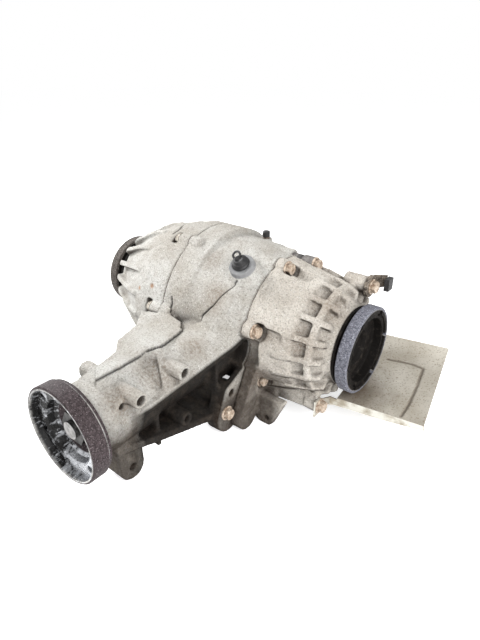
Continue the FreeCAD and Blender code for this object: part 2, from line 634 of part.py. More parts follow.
def shaft_seal(side):
    end = RIGHT_HUB_END if side > 0 else -LEFT_HUB_END
    start = end - SEAL_WIDTH - 1
    seal = turned([(start, OUTPUT_HUB_R + SEAL_FILM), (start, SEAL_BORE_R), (start + SEAL_WIDTH, SEAL_BORE_R),
                   (start + SEAL_WIDTH, SEAL_BORE_R - 4), (start + 3, SEAL_BORE_R - 4),
                   (start + 3, OUTPUT_HUB_R + 3), (start + 6, OUTPUT_HUB_R + SEAL_FILM)])
    return seal if side > 0 else spun(seal, 180, AXIS_Z)


def input_flange():
    """The input flange: rim, recessed bolting face, deep cup for the nut, and splined hub."""
    back = INPUT_FACE + INPUT_RIM + INPUT_BACK
    cup_back = INPUT_CUP_FLOOR + 6
    outer = barrel([(INPUT_FACE, INPUT_R - 1.2), (INPUT_FACE + 1.2, INPUT_R), (INPUT_FACE + INPUT_RIM, INPUT_R),
                    (INPUT_FACE + INPUT_RIM + 1, INPUT_BACK_R), (back, INPUT_BACK_R), (back, INPUT_SLEEVE_R),
                    (cup_back, INPUT_SLEEVE_R - 4), (cup_back, INPUT_HUB_R),
                    (TAIL_BEARING - TAIL_BEARING_W, INPUT_HUB_R)], "y")
    step = INPUT_FACE + INPUT_RECESS
    hollow = barrel([(INPUT_FACE - 1, INPUT_R - INPUT_RIM_WALL + 1), (INPUT_FACE + 2, INPUT_R - INPUT_RIM_WALL),
                     (step, INPUT_R - INPUT_RIM_WALL - 1), (step, INPUT_CUP_R + 2), (step + 2, INPUT_CUP_R),
                     (step + 9, INPUT_CUP_R - 2), (INPUT_CUP_FLOOR - 3, INPUT_CUP_R - 10),
                     (INPUT_CUP_FLOOR, INPUT_CUP_R - 15)], "y")
    bore = rod(Vector(0, INPUT_CUP_FLOOR - 1, PINION_Z), AXIS_Y, SHAFT_SPLINE_R, 60)
    hole = rod(Vector(0, step - 1, PINION_Z + INPUT_PCD / 2), AXIS_Y, INPUT_HOLE_R, 30)
    holes = around(hole, INPUT_HOLES, 12, AXIS_Y, PINION_CENTRE)
    return outer.cut(hollow).cut(bore).cut(Part.makeCompound(holes))


def pinion_nut():
    nut = aimed(hexagon(34, 11), Vector(0, INPUT_CUP_FLOOR, PINION_Z), AXIS_Y * -1)
    collar = rod(Vector(0, INPUT_CUP_FLOOR, PINION_Z), AXIS_Y * -1, 20, 3)
    return fused(nut, collar).cut(rod(Vector(0, INPUT_CUP_FLOOR + 1, PINION_Z), AXIS_Y * -1, 10, 20))


def input_seal():
    end = INPUT_SEAL + SEAL_WIDTH
    return turned([(INPUT_SEAL, TAIL_BEARING_R), (end, TAIL_BEARING_R), (end, INPUT_HUB_R + SEAL_FILM),
                   (end - 6, INPUT_HUB_R + SEAL_FILM), (end - 3, INPUT_HUB_R + 3), (end - 3, TAIL_BEARING_R - 4),
                   (INPUT_SEAL, TAIL_BEARING_R - 4)], "y")


def input_dust_ring():
    back = INPUT_FACE + INPUT_RIM + INPUT_BACK
    return tube(Vector(0, back, PINION_Z), AXIS_Y, 47.0, INPUT_SLEEVE_R, 2.5)


def crush_sleeve():
    front = TAIL_BEARING
    back = HEAD_BEARING - HEAD_BEARING_W
    middle = 0.5 * (front + back)
    inner = HEAD_JOURNAL_R + 0.2
    outer = inner + 2.0
    return turned([(front, inner), (front, outer), (middle - 8, outer), (middle, outer + 2.5), (middle + 8, outer),
                   (back, outer), (back, inner), (middle + 8, inner), (middle, inner + 2.5), (middle - 8, inner)], "y")


# Castings

def neck_solid():
    """The neck's tube, its shelves and ribs on the right, the flat gusset on the left and the saddle."""
    neck = barrel(NECK_PROFILE, "y")
    slope = prism([(-262, -24), (-50, 20), (-50, 8), (-262, -34)], "yz", -10, 64)
    upper = slope.common(prism(UPPER_SHELF, "xy", -90, 60))
    slope = prism([(-250, -58), (-60, -86), (-60, -96), (-250, -67)], "yz", 0, 60)
    lower = slope.common(prism(LOWER_SHELF, "xy", -120, 0))
    slope = prism([(22, 23), (-100, 9), (-100, -4), (22, 6)], "xz", -262, -40)
    beside_cover = rod(Vector(LEFT_JOINT - 60, BULGE_Y, 0), AXIS_X, BULGE_R + 9, 60)
    left = slope.common(prism(LEFT_GUSSET, "xy", -20, 40)).cut(beside_cover)
    ribs = [box(Vector(0, y - 2.5, -84), Vector(reach, y + 2.5, -6)) for y, reach in ((-205, 38), (-118, 50))]
    return [neck, upper, lower, left, hull(SADDLE_ROOT), hull(SADDLE_SHELF)] + ribs


def neck_bosses():
    """Bolting bosses along the neck and the nose lug that it stands on."""
    bosses = [rod(Vector(10, y, BOSS_Z), AXIS_X, BOSS_R, BOSS_END_X - 10) for y in (FRONT_BOSS_Y, REAR_BOSS_Y)]
    bosses.append(rod(Vector(5, -249, -3), AXIS_X, BOSS_R, 33))
    bosses.append(rod(Vector(-10, FRONT_BOSS_Y, BOSS_Z), AXIS_X * -1, BOSS_R, 28))
    bosses.append(rod(Vector(10, LOWER_BOSS_Y, LOWER_BOSS_Z), AXIS_X, BOSS_R, LOWER_BOSS_X - 10))
    block = box(Vector(NOSE_LUG_X0, -258, -70), Vector(NOSE_LUG_X1, -228, -12))
    lug = rod(Vector(NOSE_LUG_X0, NOSE_LUG_Y, NOSE_LUG_Z), AXIS_X, NOSE_LUG_R, NOSE_LUG_X1 - NOSE_LUG_X0)
    web = prism([(-257, -60), (-225, -60), (NOSE_LUG_Y + NOSE_LUG_R, NOSE_LUG_Z),
                 (NOSE_LUG_Y - NOSE_LUG_R, NOSE_LUG_Z)], "yz", NOSE_LUG_X0, NOSE_LUG_X1)
    return bosses + [block, lug, web]


def neck_holes():
    holes = [rod(Vector(BOSS_END_X - depth, y, BOSS_Z), AXIS_X, BOSS_HOLE_R, depth + 1)
             for y, depth in ((FRONT_BOSS_Y, FRONT_HOLE_DEPTH), (REAR_BOSS_Y, REAR_HOLE_DEPTH))]
    holes.append(rod(Vector(20, -249, -3), AXIS_X, 3.4, 20))
    holes.append(rod(Vector(-39, FRONT_BOSS_Y, BOSS_Z), AXIS_X, BOSS_HOLE_R, 20))
    holes.append(rod(Vector(LOWER_BOSS_X - 20, LOWER_BOSS_Y, LOWER_BOSS_Z), AXIS_X, M8, 21))
    lug_length = NOSE_LUG_X1 - NOSE_LUG_X0 + 2
    holes.append(rod(Vector(NOSE_LUG_X0 - 1, NOSE_LUG_Y, NOSE_LUG_Z), AXIS_X, NOSE_HOLE_R, lug_length))
    return holes


def right_bolt_points(x):
    return [on_circle(x, RIGHT_BOLT_CIRCLE_R, angle) for angle in RIGHT_BOLT_ANGLES]


def left_bolt_points(x):
    return [on_circle(x, LEFT_BOLT_CIRCLE_R, LEFT_BOLT_START + 360.0 * i / LEFT_BOLT_COUNT)
            for i in range(LEFT_BOLT_COUNT)]


def right_dowel_points(x):
    return [on_circle(x, RIGHT_BOLT_CIRCLE_R - 5, angle) for angle in RIGHT_DOWEL_ANGLES]


def left_dowel_points(x):
    return [on_circle(x, LEFT_BOLT_CIRCLE_R - 1, angle) for angle in LEFT_DOWEL_ANGLES]


def radial(degrees):
    turn = math.radians(degrees)
    return Vector(0, math.cos(turn), math.sin(turn))


def bulge(low, high):
    """The raised band round the ring gear, between two planes across the output axis."""
    band = barrel([(BULGE_LEFT, BULGE_R - 7), (BULGE_LEFT + 4, BULGE_R), (BULGE_RIGHT - 4, BULGE_R),
                   (BULGE_RIGHT, BULGE_R - 7)]).translated(Vector(0, BULGE_Y, 0))
    return band.common(rod(Vector(low, 0, 0), AXIS_X, 2 * BULGE_R, high - low))


def foot(low, high):
    """The pad under the bulge that the case stands on."""
    return box(Vector(low, -FOOT_Y, FLOOR_Z), Vector(high, FOOT_Y, -85))


def circle_lug(first, second, low, high):
    """A plate of the joint flange between two (y, z, radius) circles."""
    return pill(first[:2], first[2], second[:2], second[2], low, high)


def joint_rim():
    """The housing's flange for the right cover, with its lobes at the lower front and its notch."""
    start = RIGHT_JOINT - RIM
    rim = rod(Vector(start, 0, 0), AXIS_X, BARREL_RIGHT_R, RIM)
    rim = rim.cut(rod(Vector(start, NOTCH[0], NOTCH[1]), AXIS_X, NOTCH[2], RIM))
    y, z, bolt_r = LUG_BOLT
    return [rim, circle_lug(LUG_ROOT, LUG_HOLE, start, RIGHT_JOINT),
            circle_lug(LUG_ROOT, LUG_OUTER, start - 4, RIGHT_JOINT),
            circle_lug(LUG_HOLE, LUG_OUTER, start - 11, RIGHT_JOINT),
            rod(Vector(start - 11, y, z), AXIS_X, bolt_r, RIM + 11)]


def main_housing():
    """The middle casting: barrel, neck, lugs and the bores for the pinion's bearings and seal."""
    shell = barrel([(LEFT_JOINT, BARREL_R), (-30, BARREL_R), (-18, BARREL_MID_R + 1), (-8, BARREL_MID_R),
                    (30, BARREL_MID_R - 1.5), (RIGHT_JOINT - RIM, BARREL_RIGHT_R + 2), (RIGHT_JOINT, BARREL_RIGHT_R)])
    shell = shell.cut(rod(Vector(NOTCH_START, NOTCH[0], NOTCH[1]), AXIS_X, NOTCH[2], RIGHT_JOINT - NOTCH_START))
    lugs = [rod(p, AXIS_X, LEFT_LUG_R, LEFT_LUG_DEPTH) for p in left_bolt_points(LEFT_JOINT)]
    lugs += [rod(p, AXIS_X * -1, RIGHT_LUG_R, RIGHT_LUG_DEPTH) for p in right_bolt_points(RIGHT_JOINT)]
    lugs.append(rod(Vector(SLEEVE_START, *TOP_SLEEVE), AXIS_X * -1, SLEEVE_R + 3, 24))
    out = radial(FILLER_ANGLE)
    filler = rod(out * (FILLER_TOP - 27) + Vector(FILLER_X, 0, 0), out, FILLER_BOSS_R, 27)
    filler_pad = Part.makeCone(25, FILLER_BOSS_R + 3, 20, out * (FILLER_TOP - 29) + Vector(FILLER_X, 0, 0), out)
    drain = rod(Vector(DRAIN_X, DRAIN_Y, DRAIN_SEAT), AXIS_Z, 14, 19)
    breather = rod(Vector(BREATHER_X, BREATHER_Y, BREATHER_SEAT), AXIS_Z * -1, 8, 30)
    extras = [filler, filler_pad, drain, breather, foot(LEFT_JOINT, FOOT_X[1]), bulge(LEFT_JOINT, 0)]
    body = fused(shell, *(neck_solid() + neck_bosses() + joint_rim() + lugs + extras))

    hollow = barrel([(LEFT_JOINT - 1, LEFT_OPENING_R), (-14, LEFT_OPENING_R), (-8, BARREL_MID_R - WALL - 3),
                     (20, BARREL_MID_R - WALL - 6), (34, RIGHT_OPENING_R), (RIGHT_JOINT + 1, RIGHT_OPENING_R)])
    head_seat = HEAD_BEARING - HEAD_BEARING_W - SHIM
    nose = NECK_PROFILE[0][0] - 1
    bore = barrel([(nose, INPUT_SLEEVE_R + 2.5), (INPUT_SEAL - 2, INPUT_SLEEVE_R + 2.5),
                   (INPUT_SEAL - 2, TAIL_BEARING_R), (TAIL_BEARING, TAIL_BEARING_R), (TAIL_BEARING, NECK_BORE_R - 1),
                   (TAIL_BEARING + 6, NECK_BORE_R), (head_seat - 4, NECK_BORE_R), (head_seat, HEAD_BEARING_R - 6),
                   (head_seat, HEAD_BEARING_R), (-GEAR_TOE - 4, HEAD_BEARING_R)], "y")
    holes = neck_holes()
    holes += [rod(p, AXIS_X, M8, LEFT_LUG_DEPTH - 3) for p in left_bolt_points(LEFT_JOINT)]
    holes += [rod(p, AXIS_X * -1, M8, RIGHT_LUG_DEPTH - 2) for p in right_bolt_points(RIGHT_JOINT)]
    holes.append(rod(Vector(SLEEVE_START, *TOP_SLEEVE), AXIS_X * -1, M8, 20))
    holes.append(rod(Vector(SLEEVE_START, *TOP_SLEEVE), AXIS_X, SLEEVE_R + LOOSE_GAP, 20))
    holes.append(rod(Vector(RIGHT_JOINT + 1, LUG_HOLE[0], LUG_HOLE[1]), AXIS_X * -1, LUG_HOLE_R, 40))
    holes.append(rod(Vector(RIGHT_JOINT + 1, LUG_BOLT[0], LUG_BOLT[1]), AXIS_X * -1, M8, 19))
    holes.append(rod(out * (FILLER_TOP - 37) + Vector(FILLER_X, 0, 0), out, FILLER_PLUG_R - 2, 40))
    holes.append(rod(Vector(DRAIN_X, DRAIN_Y, DRAIN_SEAT - 1), AXIS_Z, DRAIN_R, 30))
    holes.append(rod(Vector(BREATHER_X, BREATHER_Y, BREATHER_SEAT - 40), AXIS_Z, 3.0, 50))
    holes += [rod(p, AXIS_X * -1, DOWEL_R, 8) for p in right_dowel_points(RIGHT_JOINT)]
    holes += [rod(p, AXIS_X, DOWEL_R, 8) for p in left_dowel_points(LEFT_JOINT)]
    return body.cut(hollow).cut(bore).cut(Part.makeCompound(holes))


def ribbed(line, count, first, thickness):
    """Ribs that run along the output axis, under an outer line of (along, radius) points."""
    under = barrel(line)
    start = line[0][0]
    length = line[-1][0] - start
    reach = max(radius for _, radius in line) + 2
    one = box(Vector(start, 0, -thickness / 2), Vector(start + length, reach, thickness / 2))
    return [rib.common(under) for rib in around(one, count, first)]


def pocket(line, count, thickness):
    """A ring shaped recess inside a cover, parted by webs."""
    ring = turned(line)
    webs = ribbed([(min(line)[0] - 1, 90), (max(line)[0] + 1, 90)], count, 0, thickness)
    return ring.cut(Part.makeCompound(webs))


def right_cover():
    """The ribbed cover on the right, with its seal hub, the foot ear, the shield's arm and the rear lug."""
    face = RIGHT_JOINT + GASKET
    skin = barrel(RIGHT_SKIN)
    skin = skin.cut(rod(Vector(face - 1, NOTCH[0], NOTCH[1]), AXIS_X, NOTCH[2], 21))
    ribs = ribbed(RIGHT_RIB_LINE, RIGHT_RIBS, RIGHT_RIB_START, RIGHT_RIB)
    lugs = [rod(p, AXIS_X, RIGHT_LUG_R, RIGHT_FLANGE) for p in right_bolt_points(face)]
    lugs.append(circle_lug(LUG_ROOT, LUG_COVER, face, face + 16))
    ear = fused(prism(EAR, "xz", *EAR_Y), prism(EAR_WEB, "xz", EAR_Y[1] - 2, ARM_Y[1]))
    arm = prism(ARM, "xz", *ARM_Y)
    arm_web = prism(ARM_WEB, "xz", ARM_Y[0] + 2, ARM_Y[1])
    arm_end = rod(Vector(*ARM_END), AXIS_X * -1, ARM_END_R, 16)
    rear_lug = rod(Vector(*REAR_LUG), AXIS_X, REAR_LUG_R, REAR_LUG_LENGTH)
    _, lug_y, lug_z = REAR_LUG
    rear_web = prism([(lug_y - 10, lug_z - 4), (lug_y + 8, lug_z - 8), (30, 30), (10, 40)], "yz", REAR_LUG[0],
                     REAR_LUG[0] + 20)
    body = fused(skin, barrel(RING_RIB), *(ribs + lugs + [ear, arm, arm_web, arm_end, rear_lug, rear_web]))

    seat = RIGHT_BEARING + CARRIER_BEARING_W + SHIM
    seal_seat = RIGHT_HUB_END - SEAL_WIDTH - 3
    hollow = barrel([(face - 1, RIGHT_OPENING_R), (82, RIGHT_OPENING_R - 1), (96, RIGHT_OPENING_R - 7),
                     (RIGHT_BEARING - 6, CARRIER_BEARING_R + 10),
                     (RIGHT_BEARING - 6, CARRIER_BEARING_R), (seat, CARRIER_BEARING_R), (seat, CARRIER_BEARING_R - 7),
                     (seal_seat, CARRIER_BEARING_R - 7), (seal_seat, SEAL_BORE_R), (RIGHT_HUB_END + 1, SEAL_BORE_R)])
    relief = pocket([(90, 48), (90, 66), (112, 66), (128, 58), (136, 48)], 6, 7)
    holes = [rod(p, AXIS_X, M8 + CLEARANCE_HOLE, 30) for p in right_bolt_points(face - 1)]
    holes += [rod(p, AXIS_X, SPOTFACE_R, SPOTFACE) for p in right_bolt_points(face + RIGHT_FLANGE)]
    holes += [rod(p, AXIS_X, SOCKET_WAY_R, SOCKET_WAY) for p in right_bolt_points(face + RIGHT_FLANGE)]
    holes.append(rod(Vector(face - 1, *TOP_SLEEVE), AXIS_X, SLEEVE_R + LOOSE_GAP, 60))
    holes.append(rod(Vector(EAR_HOLE[0], EAR_Y[0] - 1, EAR_HOLE[1]), AXIS_Y, 3.5, EAR_Y[1] - EAR_Y[0] + 2))
    holes.append(rod(Vector(*ARM_END), AXIS_X * -1, M8, 14))
    holes.append(rod(Vector(REAR_LUG[0] + REAR_LUG_LENGTH, *REAR_LUG[1:]), AXIS_X * -1, M8, 20))
    holes += [rod(p, AXIS_X, DOWEL_R, 8) for p in right_dowel_points(face - 1)]
    return body.cut(hollow).cut(relief).cut(Part.makeCompound(holes))


def left_cover():
    """The large cover on the left, over the ring gear's back, with ribs that run out to its hub."""
    face = LEFT_JOINT - GASKET
    ribs = ribbed(LEFT_RIB_LINE, LEFT_RIBS, LEFT_RIB_START, LEFT_RIB)
    lugs = [rod(p, AXIS_X * -1, LEFT_LUG_R, LEFT_LUG_DEPTH) for p in left_bolt_points(face)]
    body = fused(barrel(LEFT_SKIN), foot(FOOT_X[0], face), bulge(BULGE_LEFT, face), *(ribs + lugs))
    seat = LEFT_BEARING - CARRIER_BEARING_W - SHIM
    seal_seat = LEFT_HUB_END + SEAL_WIDTH + 3
    hollow = barrel([(face + 1, LEFT_OPENING_R - 4), (face - 16, BARREL_R - 17), (LEFT_BEARING + 6, BARREL_R - 25),
                     (LEFT_BEARING + 6, CARRIER_BEARING_R), (seat, CARRIER_BEARING_R), (seat, CARRIER_BEARING_R - 7),
                     (seal_seat, CARRIER_BEARING_R - 7), (seal_seat, SEAL_BORE_R), (LEFT_HUB_END - 1, SEAL_BORE_R)])
    relief = pocket([(-100, 48), (-100, 76), (-126, 80), (-148, 70), (-166, 56), (-170, 48)], 6, 8)
    holes = [rod(p, AXIS_X * -1, M8 + CLEARANCE_HOLE, 30) for p in left_bolt_points(face + 1)]
    holes += [rod(p, AXIS_X * -1, LEFT_LUG_R + 0.5, LEFT_NICHE) for p in left_bolt_points(face - LEFT_LUG_DEPTH)]
    holes += [rod(p, AXIS_X * -1, DOWEL_R, 8) for p in left_dowel_points(face + 1)]
    return body.cut(hollow).cut(relief).cut(Part.makeCompound(holes))


def gasket(x, outer, inner, bolts, dowels, lug_r):
    """A ring with a tongue round each bolt."""
    opening = rod(Vector(x, 0, 0), AXIS_X, inner, GASKET)
    ring = fused(rod(Vector(x, 0, 0), AXIS_X, outer, GASKET), *[rod(p, AXIS_X, lug_r, GASKET) for p in bolts])
    holes = [rod(p, AXIS_X, M8 + CLEARANCE_HOLE, GASKET) for p in bolts]
    holes += [rod(p, AXIS_X, DOWEL_R, GASKET) for p in dowels]
    return ring.cut(Part.makeCompound([opening])).cut(Part.makeCompound(holes))


def left_gasket():
    x = LEFT_JOINT - GASKET
    return gasket(x, BARREL_R, LEFT_OPENING_R, left_bolt_points(x), left_dowel_points(x), LEFT_LUG_R)


def right_gasket():
    x = RIGHT_JOINT
    ring = gasket(x, BARREL_RIGHT_R, RIGHT_OPENING_R, right_bolt_points(x), right_dowel_points(x), RIGHT_LUG_R)
    ring = ring.cut(rod(Vector(x, NOTCH[0], NOTCH[1]), AXIS_X, NOTCH[2], GASKET))
    return ring.cut(rod(Vector(x, *TOP_SLEEVE), AXIS_X, SLEEVE_R + LOOSE_GAP, GASKET))


def left_cover_bolts():
    seat = LEFT_JOINT - GASKET - LEFT_LUG_DEPTH
    bolts = [aimed(bolt(M8, M8_AF, LEFT_LUG_DEPTH + 14), p, AXIS_X * -1) for p in left_bolt_points(seat)]
    return Part.makeCompound(bolts)


def right_cover_bolts():
    seat = RIGHT_JOINT + GASKET + RIGHT_FLANGE
    return Part.makeCompound([aimed(bolt(M8, M8_AF, 26), p, AXIS_X) for p in right_bolt_points(seat)])


def cover_dowels():
    pins = [rod(p - AXIS_X * 7.5, AXIS_X, DOWEL_R, 14) for p in right_dowel_points(RIGHT_JOINT)]
    pins += [rod(p + AXIS_X * 7.5, AXIS_X * -1, DOWEL_R, 14) for p in left_dowel_points(LEFT_JOINT)]
    return Part.makeCompound(pins)


def filler_plug():
    """The push-in plug with its small hook, aimed out of the filler boss."""
    plug = barrel([(FILLER_TOP - 16, FILLER_PLUG_R - 2), (FILLER_TOP, FILLER_PLUG_R - 2), (FILLER_TOP, FILLER_PLUG_R),
                   (FILLER_TOP + 3, FILLER_PLUG_R), (FILLER_TOP + 4, FILLER_PLUG_R - 1)])
    dish = barrel([(FILLER_TOP + 1.5, 6), (FILLER_TOP + 5, 7.5)])
    knob = rod(Vector(FILLER_TOP, 0, 0), AXIS_X, 3, 6)
    hook = box(Vector(FILLER_TOP + 1, -FILLER_PLUG_R - 3, -2), Vector(FILLER_TOP + 3, -FILLER_PLUG_R + 2, 2))
    rise = box(Vector(FILLER_TOP + 1, -FILLER_PLUG_R - 4, -2), Vector(FILLER_TOP + 7, -FILLER_PLUG_R - 2.5, 2))
    plug = fused(plug.cut(dish), knob, hook, rise)
    return aimed(plug, Vector(FILLER_X, 0, 0), radial(FILLER_ANGLE))


def drain_plug():
    seat = Vector(DRAIN_X, DRAIN_Y, DRAIN_SEAT - DRAIN_WASHER)
    head = aimed(hexagon(17, 6), seat, AXIS_Z * -1)
    flange = rod(seat, AXIS_Z * -1, 11, 2)
    shank = rod(seat, AXIS_Z, DRAIN_R, 14)
    return fused(head, flange, shank)


def drain_washer():
    return tube(Vector(DRAIN_X, DRAIN_Y, DRAIN_SEAT - DRAIN_WASHER), AXIS_Z, 11, DRAIN_R, DRAIN_WASHER)


def breather_tube():
    body = barrel([(BREATHER_SEAT - 14, 3.0), (BREATHER_SEAT, 3.0), (BREATHER_SEAT, 4.2), (BREATHER_SEAT + 1.5, 4.2),
                   (BREATHER_SEAT + 1.5, 2.4), (BREATHER_SEAT + 5, 2.4), (BREATHER_SEAT + 5, 3.0),
                   (BREATHER_SEAT + 6, 2.4)])
    body = body.cut(rod(Vector(BREATHER_SEAT - 15, 0, 0), AXIS_X, 1.4, 30))
    return aimed(body, Vector(BREATHER_X, BREATHER_Y, 0), AXIS_Z)


def breather_cap():
    cap = barrel([(BREATHER_SEAT + 1.8, BREATHER_R), (BREATHER_SEAT + 8.5, BREATHER_R),
                  (BREATHER_SEAT + 9.5, BREATHER_R - 1)])
    inside = barrel([(BREATHER_SEAT + 1.7, 3.4), (BREATHER_SEAT + 7.5, 3.4)])
    return aimed(cap.cut(inside), Vector(BREATHER_X, BREATHER_Y, 0), AXIS_Z)


def top_sleeve():
    start = SLEEVE_START
    body = barrel([(start, SLEEVE_R - 1), (start + 13, SLEEVE_R - 1), (start + 14, SLEEVE_R - 2),
                   (start + 16, SLEEVE_R - 2), (start + 17, SLEEVE_R), (SLEEVE_END, SLEEVE_R)])
    body = body.cut(rod(Vector(start, 0, 0), AXIS_X, M8 + 0.2, 60))
    return body.translated(Vector(0, *TOP_SLEEVE))


def top_sleeve_bolt():
    return aimed(bolt(M8, M8_AF, SLEEVE_END - SLEEVE_START + 18), Vector(SLEEVE_END, *TOP_SLEEVE), AXIS_X)


def lower_lug_bolt():
    return aimed(bolt(M8, M8_AF, 16), Vector(RIGHT_JOINT, LUG_BOLT[0], LUG_BOLT[1]), AXIS_X)


# The heat shield and the rear bracket

def heat_shield():
    """Bent sheet: the sloping plate under the right flange, its front lip and the bolted tab."""
    x0, y0, z0 = SHIELD_POINT
    corners = [Vector(x, y, z0 + SHIELD_SLOPE[0] * (x - x0) + SHIELD_SLOPE[1] * (y - y0)) for x, y in SHIELD_CORNERS]
    plate = Part.Face(Part.makePolygon(corners + corners[:1])).extrude(AXIS_Z * -SHEET)
    front = SHIELD_CORNERS[0][1]
    lip = prism(SHIELD_LIP, "xz", front, front + SHEET)
    tab = prism(SHIELD_TAB, "yz", ARM_END[0], ARM_END[0] + SHEET)
    hole = rod(Vector(*ARM_END), AXIS_X, M8 + CLEARANCE_HOLE, SHEET)
    return fused(plate, lip, tab).cut(hole)


def heat_shield_bolt():
    return aimed(bolt(M8, M8_AF, 14), Vector(ARM_END[0] + SHEET, *ARM_END[1:]), AXIS_X)


def rear_bracket():
    """An angle bracket bolted to the rear lug: a round foot and a leg that runs out to the right."""
    x = REAR_LUG[0] + REAR_LUG_LENGTH
    y, z = REAR_LUG[1:]
    foot_plate = rod(Vector(x, y, z), AXIS_X, BRACKET_R, BRACKET)
    leg = prism([(x, z - 8), (x + BRACKET_LENGTH, z), (x + BRACKET_LENGTH, z + 14), (x, z + 10)], "xz",
                y + BRACKET_R - BRACKET, y + BRACKET_R)
    return fused(foot_plate, leg).cut(rod(Vector(x, y, z), AXIS_X, M8 + CLEARANCE_HOLE, BRACKET))


def rear_bracket_bolt():
    return aimed(bolt(M8, M8_AF, 16), Vector(REAR_LUG[0] + REAR_LUG_LENGTH + BRACKET, *REAR_LUG[1:]), AXIS_X)


def rear_buffer():
    """The rubber block on the end of the bracket's leg."""
    x = REAR_LUG[0] + REAR_LUG_LENGTH + BRACKET_LENGTH
    y = REAR_LUG[1] + BRACKET_R - BRACKET / 2 - BUFFER[1] / 2
    z = REAR_LUG[2] - 4
    return box(Vector(x, y, z), Vector(x + BUFFER[0], y + BUFFER[1], z + BUFFER[2]))


# Assembly

def bearing_at(point, direction, bore_r, outer_r, width, wide_first):
    return [aimed(shape, point, direction) for shape in taper_bearing(bore_r, outer_r, width, wide_first)]


def shims():
    rings = []
    seats = [(Vector(RIGHT_BEARING + CARRIER_BEARING_W, 0, 0), AXIS_X, CARRIER_BEARING_R),
             (Vector(LEFT_BEARING - CARRIER_BEARING_W, 0, 0), AXIS_X * -1, CARRIER_BEARING_R),
             (Vector(0, HEAD_BEARING - HEAD_BEARING_W, PINION_Z), AXIS_Y * -1, HEAD_BEARING_R)]
    for seat, direction, radius in seats:
        rings.append(tube(seat, direction, radius, radius - 6, SHIM))
    return Part.makeCompound(rings)


def build():
    nodes = {
        "main_housing": main_housing(),
        "left_cover": left_cover(),
        "right_cover": right_cover(),
        "left_cover_gasket": left_gasket(),
        "right_cover_gasket": right_gasket(),
        "left_cover_bolts": left_cover_bolts(),
        "right_cover_bolts": right_cover_bolts(),
        "cover_dowels": cover_dowels(),
        "lower_lug_bolt": lower_lug_bolt(),
        "top_sleeve": top_sleeve(),
        "top_sleeve_bolt": top_sleeve_bolt(),
        "filler_plug": filler_plug(),
        "drain_plug": drain_plug(),
        "drain_plug_washer": drain_washer(),
        "breather_tube": breather_tube(),
        "breather_cap": breather_cap(),
        "heat_shield": heat_shield(),
        "heat_shield_bolt": heat_shield_bolt(),
        "rear_bracket": rear_bracket(),
        "rear_bracket_bolt": rear_bracket_bolt(),
        "rear_bracket_buffer": rear_buffer(),
        "bearing_shims": shims(),
        "left_shaft_seal": shaft_seal(-1),
        "right_shaft_seal": shaft_seal(1),
        "input_shaft_seal": input_seal(),
        "drive_pinion": drive_pinion(),
        "input_flange": input_flange(),
        "input_dust_ring": input_dust_ring(),
        "pinion_nut": pinion_nut(),
        "crush_sleeve": crush_sleeve(),
        "ring_gear": ring_gear(),
        "ring_gear_bolts": ring_gear_bolts(),
        "differential_case": differential_case(),
        "cross_pin": cross_pin(),
        "cross_pin_lock_pin": lock_pin(),
        "thrust_washers": thrust_washers(),
        "upper_spider_gear": spider_gear(1),
        "lower_spider_gear": spider_gear(-1),
    }
    bearings = [("right_carrier_bearing", Vector(RIGHT_BEARING, 0, 0), AXIS_X, TRUNNION_R, CARRIER_BEARING_R,
                 CARRIER_BEARING_W, True),
                ("left_carrier_bearing", Vector(LEFT_BEARING, 0, 0), AXIS_X * -1, TRUNNION_R, CARRIER_BEARING_R,
                 CARRIER_BEARING_W, True),
                ("pinion_head_bearing", Vector(0, HEAD_BEARING, PINION_Z), AXIS_Y * -1, HEAD_JOURNAL_R, HEAD_BEARING_R,
                 HEAD_BEARING_W, True),
                ("pinion_tail_bearing", Vector(0, TAIL_BEARING, PINION_Z), AXIS_Y * -1, TAIL_JOURNAL_R, TAIL_BEARING_R,
                 TAIL_BEARING_W, False)]
    for name, point, direction, bore_r, outer_r, width, wide_first in bearings:
        cup, cone, rollers = bearing_at(point, direction, bore_r, outer_r, width, wide_first)
        nodes[name + "_cup"] = cup
        nodes[name + "_cone"] = cone
        nodes[name + "_rollers"] = rollers
    for name, side in (("right", 1), ("left", -1)):
        nodes[name + "_output_flange"] = output_flange(side)
        nodes[name + "_side_gear"] = side_gear(side)
        nodes[name + "_circlip"] = circlip(side)
        nodes[name + "_dust_ring"] = dust_ring(side)
    return nodes


os.makedirs("parts", exist_ok=True)
for name, shape in build().items():
    shape = shape.translated(Vector(-RIGHT_FACE, 0, 0))
    shape.exportStep("parts/" + name + ".step")
    print(name, "solids", len(shape.Solids), "valid", shape.isValid(), "volume", round(shape.Volume / 1000, 1))
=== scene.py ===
# %% [markdown]
# # A rear differential, dressed from its CAD frame
# The CAD model holds every solid piece at its real size. This script loads it as a fixed frame and gives
# each visible piece the look of the real one: sand-cast aluminium under dust and grime, rough iron flanges,
# worn zinc on the bolts and dusty sheet on the heat shield. Everything is in metres in the CAD's frame.

# %% Load the frame
import json
import math

import bmesh
import bpy
from mathutils import Matrix, Vector
from mathutils.kdtree import KDTree


